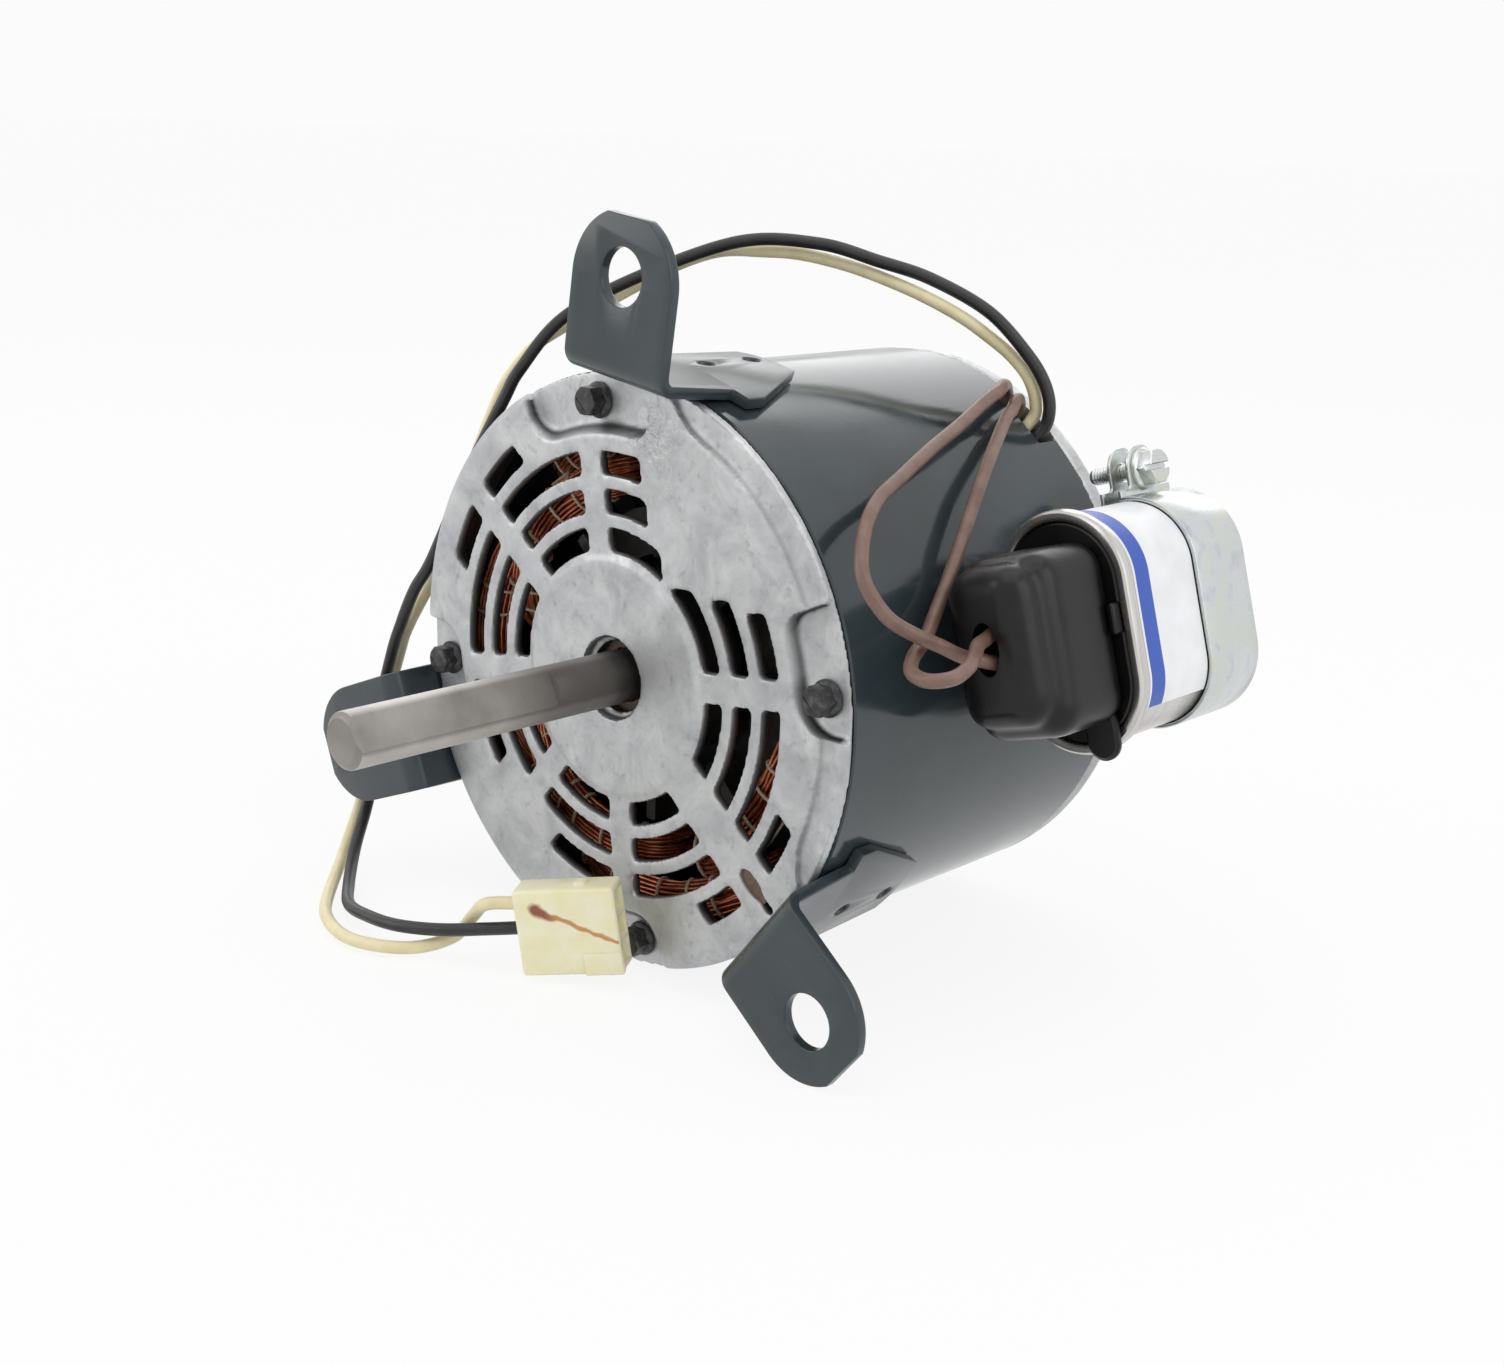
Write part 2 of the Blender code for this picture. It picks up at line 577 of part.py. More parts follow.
def make_rear_shield():
    spigot_inner = SPIGOT_RADIUS - SPIGOT_WALL
    spigot_end = REAR_RIM - SPIGOT_DEPTH
    profile = [(HOUSING_RADIUS, REAR_WEB), (HOUSING_RADIUS, REAR_BUSH), (HUB_RADIUS, REAR_BUSH)]
    profile += [(HUB_RADIUS, REAR_WEB), (spigot_inner, REAR_WEB)]
    profile += [(radius, spigot_end) for radius in (spigot_inner, SPIGOT_RADIUS)]
    profile += [(SPIGOT_RADIUS, REAR_RIM), (SHELL_RADIUS, REAR_RIM)] + rim_arc(REAR_FACE, -1)[::-1]
    rings = [circle(radius, y, LARGE_SEGMENTS) for radius, y in profile]
    shield = loft("rear_end_shield", rings, CASTING)
    half = RIB_WIDTH / 2
    vents = [slot_outline(1, (rib, half), (rib + 1, -half)) for rib in range(8)]
    blocks = [(hole, spigot_end - CUT_MARGIN, REAR_FACE + CUT_MARGIN) for hole in vents + bolt_holes()]
    cut(shield, prisms("rear_shield_holes", blocks))
    spigot_gap = arc_block(spigot_inner - CUT_MARGIN, SPIGOT_RADIUS + CLEARANCE / 2,
                           NOTCH_ANGLE - NOTCH_SPAN / 2, NOTCH_ANGLE + NOTCH_SPAN / 2)
    cut(shield, prisms("rear_spigot_notch", [(spigot_gap, spigot_end - CUT_MARGIN, REAR_RIM)]))


# Through bolts and nuts

def make_bolts():
    seat = FACE + POCKET_DEPTH - CLEARANCE
    flange = seat - BOLT_FLANGE_HEIGHT
    head = flange - BOLT_HEAD_HEIGHT
    nut = REAR_FACE + CLEARANCE
    shank = BOLT_DIAMETER / 2
    rings = [hexagon(BOLT_HEX - 2 * HEX_CHAMFER, head), hexagon(BOLT_HEX, head + HEX_CHAMFER)]
    rings += [hexagon(BOLT_HEX, flange)]
    rings += [circle(BOLT_FLANGE / 2, y, HEX_SEGMENTS) for y in (flange, seat)]
    rings += [circle(shank, y, HEX_SEGMENTS) for y in (seat, nut + NUT_HEIGHT + BOLT_TAIL)]
    nut_rings = [hexagon(NUT_HEX, nut), hexagon(NUT_HEX, nut + NUT_HEIGHT)]
    nut_rings += [circle(shank + CLEARANCE, y, HEX_SEGMENTS) for y in (nut + NUT_HEIGHT, nut)]
    for number, angle in enumerate(bolt_angles(), 1):
        bolt = loft(f"through_bolt_{number}", rings, BLACK_STEEL)
        nut_piece = loft(f"through_bolt_nut_{number}", nut_rings, BLACK_STEEL, hollow=True)
        x, z = polar(BOLT_CIRCLE, angle)
        bolt.location = (x * MM, 0, z * MM)
        nut_piece.location = (x * MM, 0, z * MM)


# Mounting lugs

def make_lug(side, angle):
    lug = lug_strip(f"mounting_lug_{side}")
    hole = round_outline(LUG_HOLE_DIAMETER / 2, LUG_HOLE_RADIUS, 0, SMALL_SEGMENTS)
    front = FACE - LUG_OVERHANG
    bore = prisms(f"lug_bore_{side}", [(hole, front - CUT_MARGIN, front + LUG_THICKNESS + CUT_MARGIN)])
    welds = weld_pits(f"lug_welds_{side}")
    for item in (lug, bore, welds):
        turn(item, angle)
    cut(lug, bore)
    cut(lug, welds)


def lug_rows():
    """Rows across the strip: inner point, outer point, half width and how far the sides follow the shell."""
    front = FACE - LUG_OVERHANG
    back = front + LUG_THICKNESS
    inside = SHELL_RADIUS + CLEARANCE
    outside = inside + LUG_THICKNESS
    rows = []
    top_angle = math.degrees(math.asin(EAR_FLAT_WIDTH / 2 / LUG_HALF_WIDTH))
    for step in range(4):
        along, half = polar(LUG_HALF_WIDTH, top_angle + (90 - top_angle) * step / 3)
        height = LUG_HOLE_RADIUS - EAR_CENTRE_DROP + along
        rows.append(((height, front), (height, back), half, 0))
    bend = LUG_BEND + LUG_THICKNESS
    for angle in (0, 45, 90):
        across, along = polar(1.0, angle)
        centre = (inside + bend, front + bend)
        low = (centre[0] - bend * along, centre[1] - bend * across)
        high = (centre[0] - LUG_BEND * along, centre[1] - LUG_BEND * across)
        rows.append((low, high, LUG_HALF_WIDTH, 0))
    wing = FACE + WING_START
    feet = [(wing, LUG_HALF_WIDTH, 0.5), (wing + WING_SHOULDER, WING_HALF_WIDTH, 1)]
    feet += [(wing + WING_LENGTH, WING_HALF_WIDTH, 1), (FACE + FOOT_LENGTH, FOOT_END_HALF_WIDTH, 1)]
    for y, half, follow in feet:
        rows.append(((inside, y), (outside, y), half, follow))
    return rows


def lug_strip(name):
    columns = [2 * i / LUG_COLUMNS - 1 for i in range(LUG_COLUMNS + 1)]
    inside = SHELL_RADIUS + CLEARANCE
    rings = []
    for low, high, half, follow in lug_rows():
        ring = []
        for (radius, y), order in ((low, columns), (high, columns[::-1])):
            base = inside if radius == low[0] else inside + LUG_THICKNESS
            for share in order:
                across = share * half
                drop = follow * (base - math.sqrt(base * base - across * across))
                ring.append((radius - drop, y, across))
        rings.append(ring)
    return loft(name, rings, PAINT, strip=True)


def weld_pits(name):
    """Two round pits pressed into the foot, one behind the other."""
    top = SHELL_RADIUS + CLEARANCE + LUG_THICKNESS
    points = []
    faces = []
    for place in WELD_PLACES:
        first = len(points)
        for height, diameter in ((top - WELD_DEPTH, WELD_FLOOR_DIAMETER), (top + CUT_MARGIN, WELD_DIAMETER)):
            outline = round_outline(diameter / 2, FACE + place, 0)
            points += [(height, y, z) for y, z in outline]
        low = list(range(first, first + HEX_SEGMENTS))
        high = [i + HEX_SEGMENTS for i in low]
        faces += [tuple(low), tuple(high)]
        for j in range(HEX_SEGMENTS):
            k = (j + 1) % HEX_SEGMENTS
            faces.append((low[j], low[k], high[k], high[j]))
    return add_mesh(name, points, faces)


# Stator and windings

def make_stator():
    outside = round_outline(SPIGOT_RADIUS, 0, 0, LARGE_SEGMENTS)
    stator = prisms("stator_core", [(outside, STACK_START, STACK_END)], LAMINATION)
    half = COIL_DIAMETER / 2 + COIL_SLOT_CLEARANCE
    bore = []
    for i in range(STATOR_SLOTS):
        middle = CLOCK + 360 * (i + 0.5) / STATOR_SLOTS
        corners = [(BORE_RADIUS, -1), (STATOR_SLOT_BOTTOM, -1), (STATOR_SLOT_BOTTOM, 1), (BORE_RADIUS, 1)]
        for radius, side in corners:
            bore.append(polar(radius, middle + side * math.degrees(math.asin(half / radius))))
    start = STACK_START - CUT_MARGIN
    end = STACK_END + CUT_MARGIN
    cut(stator, prisms("stator_openings", [(hole, start, end) for hole in [bore] + bolt_holes()]))


def coil_point(angle, radius, y):
    x, z = polar(radius, angle)
    return x, y, z


def end_turn(edge, reach, start_angle, radii):
    """Points from one side of a coil to the other, past the end of the stack."""
    turn_points = []
    for i in range(1, END_TURN_STEPS):
        across, out = polar(1.0, 180 * i / END_TURN_STEPS)
        radius = radii[0] + (radii[1] - radii[0]) * i / END_TURN_STEPS
        y = edge + reach * out ** END_TURN_SQUARENESS
        turn_points.append(coil_point(start_angle * across, radius, y))
    return turn_points


def coil_points(first_radius):
    """One unbroken path: in at the rear, round both slots for each loop, and out at the rear."""
    front_reach = STACK_START - FACE - RIM_THICKNESS - END_TURN_CLEARANCE - COIL_DIAMETER / 2
    rear_reach = REAR_WEB - STACK_END - LEAD_SPACE - COIL_DIAMETER / 2
    middle = (STACK_START + STACK_END) / 2
    side = [STACK_END, middle, STACK_START]
    points = [coil_point(-COIL_HALF_SPAN, first_radius, STACK_END + COIL_END_RUN)]
    for loop in range(COIL_LOOPS):
        radius = first_radius + loop * COIL_PITCH
        points += [coil_point(-COIL_HALF_SPAN, radius, y) for y in side]
        points += end_turn(STACK_START, -front_reach, -COIL_HALF_SPAN, (radius, radius))
        points += [coil_point(COIL_HALF_SPAN, radius, y) for y in reversed(side)]
        if loop < COIL_LOOPS - 1:
            points += end_turn(STACK_END, rear_reach, COIL_HALF_SPAN, (radius, radius + COIL_PITCH))
    points.append(coil_point(COIL_HALF_SPAN, radius, STACK_END + COIL_END_RUN))
    return points


def least_gap(points, diameter):
    """Smallest space between stretches of one tube that lie apart along it."""
    samples = resample(numpy.array(points), 1.0)
    apart = int(3 * diameter)
    gap = math.inf
    for i in range(len(samples) - apart):
        distances = numpy.linalg.norm(samples[i + apart:] - samples[i], axis=1)
        gap = min(gap, distances.min())
    return gap - diameter


def make_coils():
    half_pole = 180 / POLE_COUNT
    for kind, radius, shift in (("main", MAIN_COIL_RADIUS, 0), ("start", START_COIL_RADIUS, half_pole)):
        points = coil_points(radius)
        print(f"{kind} coil: least gap to itself {least_gap(points, COIL_DIAMETER):.2f} mm")
        for number in range(POLE_COUNT):
            coil = tube(f"{kind}_coil_{number + 1}", points, COIL_DIAMETER, COPPER, 1)
            turn(coil, CLOCK + shift + 2 * half_pole * number)


# Shaft, rotor and bearings

def shaft_ring(radius, y, flat=False):
    normal = polar(1.0, FLAT_ANGLE)
    ring = []
    for x, _, z in circle(radius, y, OVAL_SEGMENTS):
        extra = x * normal[0] + z * normal[1] - (SHAFT_RADIUS - FLAT_DEPTH)
        if flat and extra > 0:
            x -= extra * normal[0]
            z -= extra * normal[1]
        ring.append((x, y, z))
    return ring


def make_rotor():
    axis = add_object("rotor_axis", None)
    core_radius = SHAFT_RADIUS + SHAFT_SHOULDER
    rings = [shaft_ring(SHAFT_RADIUS - SHAFT_CHAMFER, 0, True), shaft_ring(SHAFT_RADIUS, SHAFT_CHAMFER, True)]
    rings += [shaft_ring(SHAFT_RADIUS, FLAT_LENGTH, True)]
    rings += [shaft_ring(SHAFT_RADIUS, y) for y in (FLAT_LENGTH + FLAT_RUNOUT, STACK_START)]
    rings += [shaft_ring(core_radius, STACK_START)]
    rings += [shaft_ring(core_radius, STACK_END), shaft_ring(SHAFT_RADIUS, STACK_END)]
    rings += [shaft_ring(SHAFT_RADIUS, REAR_BUSH + BUSH_LENGTH)]
    pieces = [loft("rotor_shaft", rings, SHAFT_STEEL)]
    pieces.append(make_rotor_core(core_radius + CLEARANCE))
    pieces.append(make_cage())
    pieces.append(shaft_sleeve("front_thrust_washer", FRONT_WASHER, WASHER_THICKNESS, PHENOLIC))
    pieces.append(shaft_sleeve("rear_thrust_washer", REAR_WASHER, WASHER_THICKNESS, PHENOLIC))
    pieces.append(shaft_sleeve("front_thrust_collar", FRONT_COLLAR, FRONT_COLLAR_LENGTH, ZINC))
    pieces.append(shaft_sleeve("rear_thrust_collar", REAR_COLLAR, REAR_COLLAR_LENGTH, ZINC))
    for piece in pieces:
        piece.parent = axis


def shaft_sleeve(name, start, length, look):
    outside = BUSH_BORE + COLLAR_WALL
    profile = [(radius, start) for radius in (BUSH_BORE, outside)]
    profile += [(radius, start + length) for radius in (outside, BUSH_BORE)]
    return turned(name, profile, look)


def bar_angles():
    return [360 * i / BAR_COUNT for i in range(BAR_COUNT)]


def bar_edge(radius, side, clearance=0.0):
    return side * math.degrees(math.asin((BAR_WIDTH / 2 + clearance) / radius))


def make_rotor_core(hole):
    slot_bottom = CAGE_RADIUS - BAR_DEPTH - CLEARANCE
    outline = []
    for angle in bar_angles():
        for radius, side in ((ROTOR_RADIUS, -1), (slot_bottom, -1), (slot_bottom, 1), (ROTOR_RADIUS, 1)):
            outline.append(polar(radius, angle + bar_edge(radius, side, CLEARANCE)))
    core = prisms("rotor_core", [(outline, STACK_START, STACK_END)], LAMINATION)
    bore = round_outline(hole, 0, 0, SMALL_SEGMENTS)
    cut(core, prisms("rotor_core_bore", [(bore, STACK_START - CUT_MARGIN, STACK_END + CUT_MARGIN)]))
    return core


def make_cage():
    """Bars and end rings in one casting, with fan blades standing on the rings."""
    start = STACK_START - CLEARANCE
    end = STACK_END + CLEARANCE
    reach = END_RING_WIDTH + BLADE_HEIGHT
    ring_inner = END_RING_BORE
    bar_inner = CAGE_RADIUS - BAR_DEPTH
    profile = [(CAGE_RADIUS, start - reach), (CAGE_RADIUS, end + reach), (ring_inner, end + reach)]
    profile += [(ring_inner, end), (bar_inner, end), (bar_inner, start)]
    profile += [(ring_inner, start), (ring_inner, start - reach)]
    cage = turned("rotor_cage", profile, CASTING, 2 * BAR_COUNT)
    low = bar_inner - CUT_MARGIN
    high = ROTOR_RADIUS + CUT_MARGIN
    windows = []
    for angle in bar_angles():
        outline = [polar(low, angle + bar_edge(low, 1)), polar(high, angle + bar_edge(high, 1))]
        following = angle + 360 / BAR_COUNT
        outline += [polar(high, following + bar_edge(high, -1)), polar(low, following + bar_edge(low, -1))]
        windows.append((outline, start, end))
    cut(cage, prisms("cage_windows", windows))
    cut(cage, prisms("cage_blade_gaps", blade_gaps(ring_inner - CUT_MARGIN, start, end)))
    return cage


def blade_gaps(low, start, end):
    high = ROTOR_RADIUS + CUT_MARGIN
    reach = END_RING_WIDTH + BLADE_HEIGHT + CUT_MARGIN
    gaps = []
    for i in range(BLADE_COUNT):
        edges = (360 * i / BLADE_COUNT, 360 * (i + 1) / BLADE_COUNT)
        outline = []
        for radius, order in ((low, (0, 1)), (high, (1, 0))):
            trim = math.degrees(math.asin(BLADE_WIDTH / 2 / radius))
            sides = (edges[0] + trim, edges[1] - trim)
            outline += [polar(radius, sides[side]) for side in order]
        gaps.append((outline, start - reach, start - END_RING_WIDTH))
        gaps.append((outline, end + END_RING_WIDTH, end + reach))
    return gaps


def make_bearings():
    """Bronze sleeve, oil felt and retainer in the hub of each shield; the two sets mirror each other."""
    for place, start, direction in (("front", FRONT_BUSH, 1), ("rear", REAR_WEB - CLEARANCE, -1)):
        retainer = BUSH_LENGTH - RETAINER_INSET - RETAINER_THICKNESS
        bush = [(BUSH_BORE, 0), (BUSH_RADIUS, 0), (BUSH_RADIUS, BUSH_LENGTH), (BUSH_BORE, BUSH_LENGTH)]
        felt_inner = BUSH_RADIUS + CLEARANCE
        felt_outer = HOUSING_RADIUS - CLEARANCE
        felt = [(radius, 0) for radius in (felt_inner, felt_outer)]
        felt += [(radius, retainer - CLEARANCE) for radius in (felt_outer, felt_inner)]
        ring = [(felt_inner, retainer), (felt_outer, retainer)]
        ring += [(radius, retainer + RETAINER_THICKNESS) for radius in (felt_outer, felt_inner)]
        sets = (("bearing_bush", bush, BRONZE), ("oil_felt", felt, FELT), ("bearing_retainer", ring, ZINC))
        for name, profile, look in sets:
            turned(f"{place}_{name}", [(radius, start + direction * y) for radius, y in profile], look)


# Capacitor, boot and strap

def make_capacitor():
    frame = add_object("capacitor_frame", None)
    turn(frame, CAPACITOR_ANGLE)
    pieces = [make_can(), make_roll(), make_lid(), make_strap(), make_strap_screw()]
    pieces += make_terminals() + make_boot()
    for piece in pieces:
        piece.parent = frame
        piece.location.x += CAPACITOR_RADIUS * MM
        piece.location.z += CAPACITOR_OFFSET * MM


def can_oval(growth, y, lengthening=0.0):
    return stadium(CAN_HALF_WIDTH + growth, CAN_HALF_LENGTH + growth + lengthening, y)


def make_can():
    rings = [can_oval(-CAN_WALL, CAN_END - CAN_WALL), can_oval(-CAN_WALL, CAN_START)]
    rings += [can_oval(SEAM_LIP, y, SEAM_LIP) for y in (CAN_START, CAN_START + SEAM_HEIGHT)]
    rings += [can_oval(0, CAN_START + SEAM_HEIGHT), can_oval(0, CAN_END - CAN_CORNER)]
    rings += [can_oval(-CAN_CORNER, CAN_END)]
    return loft("capacitor_can", rings, ZINC)


def make_roll():
    start = LID_FACE + LID_THICKNESS + CLEARANCE
    end = CAN_END - CAN_WALL - CLEARANCE
    return loft("capacitor_roll", [can_oval(-CAN_WALL - CLEARANCE, y) for y in (start, end)], FILM)


def make_lid():
    rings = [can_oval(-CAN_WALL - CLEARANCE, y) for y in (LID_FACE, LID_FACE + LID_THICKNESS)]
    return loft("capacitor_lid", rings, PHENOLIC)


def make_terminals():
    base = LID_FACE - CLEARANCE
    terminals = []
    for number, side in ((1, 1), (2, -1)):
        rings = []
        step = base - TERMINAL_BASE[2]
        for size, y in ((TERMINAL_BASE, base), (TERMINAL_BASE, step), (TERMINAL_BLADE, step),
                        (TERMINAL_BLADE, step - TERMINAL_BLADE[2])):
            half_x = size[0] / 2
            half_z = size[1] / 2
            middle = side * TERMINAL_SPACING / 2
            corners = ((-half_x, -half_z), (half_x, -half_z), (half_x, half_z), (-half_x, half_z))
            rings.append([(x, y, middle + z) for x, z in corners])
        terminals.append(loft(f"capacitor_terminal_{number}", rings, TIN))
    return terminals


def make_boot():
    """Rubber cap over the terminals; its flange sits inside the can's seam."""
    base = LID_FACE - CLEARANCE
    front = base - BOOT_LENGTH
    step = front + BOOT_FRONT_LENGTH
    flange = CAN_WALL + CLEARANCE
    seam_front = CAN_START - CLEARANCE
    rise = BOOT_FRONT_RISE

    def block(half, y, lift, shrink=0.0):
        return soft_rectangle(half[0] - shrink, half[1] - shrink, y, lift)

    rings = [block(BOOT_FRONT_HALF, front + BOOT_WALL, rise, BOOT_WALL)]
    rings += [block(BOOT_FRONT_HALF, step, rise, BOOT_WALL), block(BOOT_REAR_HALF, base, 0, BOOT_WALL)]
    rings += [can_oval(-flange, base), can_oval(-flange, seam_front), block(BOOT_REAR_HALF, seam_front, 0)]
    rings += [block(BOOT_REAR_HALF, step + BOOT_WALL, 0), block(BOOT_FRONT_HALF, step, rise)]
    rings += [block(BOOT_FRONT_HALF, front + BOOT_WALL, rise), block(BOOT_FRONT_HALF, front, rise, BOOT_WALL)]
    boot = loft("capacitor_boot", rings, RUBBER)
    hole = []
    for x, z in round_outline(1.0, 0, 0):
        hole.append((BOOT_HOLE_PLACE[0] + x * BOOT_HOLE_HALF[0], BOOT_HOLE_PLACE[1] + z * BOOT_HOLE_HALF[1]))
    cutter = prisms("boot_lead_hole", [(hole, front - CUT_MARGIN, front + 2 * BOOT_WALL)])
    cut(boot, cutter)
    return [boot, cutter]


def strap_outline():
    """Band round the can with its two ends turned up as ears, in one thickness."""
    outer_half = CAN_HALF_WIDTH + CLEARANCE + STRAP_THICKNESS
    inner_half = CAN_HALF_WIDTH + CLEARANCE
    straight = CAN_HALF_LENGTH - CAN_HALF_WIDTH
    top = straight + outer_half + STRAP_EAR_HEIGHT
    ears = (STRAP_EAR_INNER, STRAP_EAR_OUTER)
    ear_backs = (STRAP_EAR_INNER - STRAP_THICKNESS, STRAP_EAR_OUTER + STRAP_THICKNESS)
    outline = []
    for half, sides in ((outer_half, ear_backs), (inner_half, ears)):
        start = math.degrees(math.acos(sides[0] / half))
        end = math.degrees(math.acos(sides[1] / half)) + 360
        band = []
        for i in range(OVAL_SEGMENTS + 1):
            x, z = polar(half, start + (end - start) * i / OVAL_SEGMENTS)
            band.append((x, z + math.copysign(straight, z)))
        run = [(sides[0], top)] + band + [(sides[1], top)]
        outline += run if half == outer_half else run[::-1]
    return outline


def make_strap():
    end = STRAP_START + STRAP_WIDTH
    strap = prisms("capacitor_strap", [(strap_outline(), STRAP_START, end)], ZINC)
    low = CAN_HALF_LENGTH + CLEARANCE + STRAP_THICKNESS + CUT_MARGIN
    high = low + STRAP_EAR_HEIGHT
    half = CAN_HALF_WIDTH
    corners = [(-half, low), (half, low), (half, high), (-half, high)]
    trim = (STRAP_WIDTH - STRAP_EAR_WIDTH) / 2
    blocks = [(corners, STRAP_START - CUT_MARGIN, STRAP_START + trim)]
    blocks += [(corners, end - trim, end + CUT_MARGIN)]
    trimmer = prisms("strap_ear_trim", blocks)
    hole = round_outline(STRAP_SCREW_DIAMETER / 2 + CLEARANCE, 0, 0)
    bore = prisms("strap_screw_bore", [(hole, -half, half)])
    bore.rotation_euler.z = math.pi / 2
    bore.location = strap_screw_place(0)
    for cutter in (trimmer, bore):
        cut(strap, cutter)
    group = add_object("strap_frame", None)
    for piece in (strap, trimmer, bore):
        piece.parent = group
    return group


def strap_screw_place(x):
    height = CAN_HALF_LENGTH + CLEARANCE + STRAP_THICKNESS + STRAP_SCREW_HEIGHT
    return (x * MM, (STRAP_START + STRAP_WIDTH / 2) * MM, height * MM)


def make_strap_screw():
    """Hex washer-head screw across the ears, with its head on the outer side."""
    shank = STRAP_SCREW_DIAMETER / 2
    flange = -STRAP_SCREW_FLANGE_HEIGHT
    head = flange - STRAP_SCREW_HEAD_HEIGHT
    rings = [hexagon(STRAP_SCREW_HEX - 2 * HEX_CHAMFER, head)]
    rings += [hexagon(STRAP_SCREW_HEX, y) for y in (head + HEX_CHAMFER, flange)]
    rings += [circle(STRAP_SCREW_FLANGE / 2, y, HEX_SEGMENTS) for y in (flange, 0)]
    rings += [circle(shank, y, HEX_SEGMENTS) for y in (0, STRAP_SCREW_LENGTH)]
    screw = loft("strap_screw", rings, ZINC)
    screw.rotation_euler.z = math.pi / 2
    screw.location = strap_screw_place(STRAP_EAR_OUTER + STRAP_THICKNESS + CLEARANCE)
    return screw


# Leads and plug

def smooth_route(points):
    """Close points on a smooth curve through a route's own points."""
    ends = [2 * points[0] - points[1]], [2 * points[-1] - points[-2]]
    guide = numpy.concatenate((ends[0], points, ends[1]))
    curve = []
    for before, start, end, after in zip(guide, guide[1:], guide[2:], guide[3:]):
        for share in numpy.linspace(0, 1, ROUTE_STEPS, endpoint=False):
            linear_part = (end - before) * share
            square_part = (2 * before - 5 * start + 4 * end - after) * share ** 2
            cubic_part = (3 * start - 3 * end + after - before) * share ** 3
            curve.append(start + (linear_part + square_part + cubic_part) / 2)
    curve.append(points[-1])
    return numpy.array(curve)


def resample(points, spacing):
    """Points at even steps along a line of points."""
    lengths = numpy.linalg.norm(numpy.diff(points, axis=0), axis=1)
    distance = numpy.concatenate(([0.0], numpy.cumsum(lengths)))
    steps = numpy.linspace(0, distance[-1], max(2, round(distance[-1] / spacing) + 1))
    return numpy.column_stack([numpy.interp(steps, distance, points[:, axis]) for axis in range(3)])


def tube(name, points, diameter, look, resolution):
    curve = bpy.data.curves.new(name, "CURVE")
    curve.dimensions = "3D"
    curve.bevel_depth = diameter / 2 * MM
    curve.bevel_resolution = resolution
    curve.use_fill_caps = True
    spline = curve.splines.new("POLY")
    spline.points.add(len(points) - 1)
    for spline_point, (x, y, z) in zip(spline.points, points):
        spline_point.co = (x * MM, y * MM, z * MM, 1)
    curve.materials.append(look)
    return add_object(name, curve)


def make_leads():
    make_lead("lead_black", BLACK_ROUTE, LEAD_POINT_SPACING, BLACK_INSULATION)
    make_lead("lead_cream", CREAM_ROUTE, LEAD_POINT_SPACING, CREAM_INSULATION)
    for number, route in enumerate(BROWN_ROUTES, 1):
        make_lead(f"capacitor_lead_{number}", route, CAPACITOR_LEAD_POINT_SPACING, BROWN_INSULATION)


def make_lead(name, route, spacing, look):
    curve = smooth_route(numpy.array(route, dtype=float))
    tube(name, resample(curve, spacing), LEAD_DIAMETER, look, 2)


def across_plug(x, outline):
    return [(x, y, z) for y, z in outline]


def plug_round(radius, position):
    """Outline round one of the plug's three positions, counted from the middle one."""
    return round_outline(radius, PLUG_THICKNESS / 2, PLUG_HEIGHT / 2 + position * PLUG_PITCH)


def make_plug():
    frame = add_object("plug_frame", None)
    frame.location = [value * MM for value in PLUG_CORNER]
    frame.rotation_euler = (0, -math.radians(PLUG_TILT), math.radians(PLUG_AZIMUTH))
    edge = PLUG_CHAMFER
    deep = PLUG_THICKNESS
    high = PLUG_HEIGHT
    outline = [(edge, 0), (deep - edge, 0), (deep, edge), (deep, high - edge)]
    outline += [(deep - edge, high), (edge, high), (0, high - edge), (0, edge)]
    housing = loft("plug_housing", [across_plug(x, outline) for x in (0, PLUG_LENGTH)], NYLON)
    hole = LEAD_DIAMETER / 2 + CLEARANCE
    pieces = [housing]
    for position in (-1, 0, 1):
        ends = (-CUT_MARGIN, PLUG_LENGTH + CUT_MARGIN)
        cutter = loft(f"plug_bore_{position + 2}", [across_plug(x, plug_round(hole, position)) for x in ends])
        cut(housing, cutter)
        pieces.append(cutter)
    ends = (PLUG_LEAD_DEPTH + CLEARANCE, PLUG_LENGTH - PLUG_CONTACT_RECESS)
    for number in (1, 2):
        rings = [across_plug(x, plug_round(LEAD_DIAMETER / 2, number - 1)) for x in ends]
        pieces.append(loft(f"plug_contact_{number}", rings, TIN))
    for piece in pieces:
        piece.parent = frame


make_shell()
make_front_shield()
make_rear_shield()
make_bolts()
for lug_side, lug_angle in LUG_ANGLES.items():
    make_lug(lug_side, lug_angle)
make_stator()
make_coils()
make_rotor()
make_bearings()
make_capacitor()
make_leads()
make_plug()
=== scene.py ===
import math

import bmesh
import bpy
from mathutils import Euler, Matrix, Vector


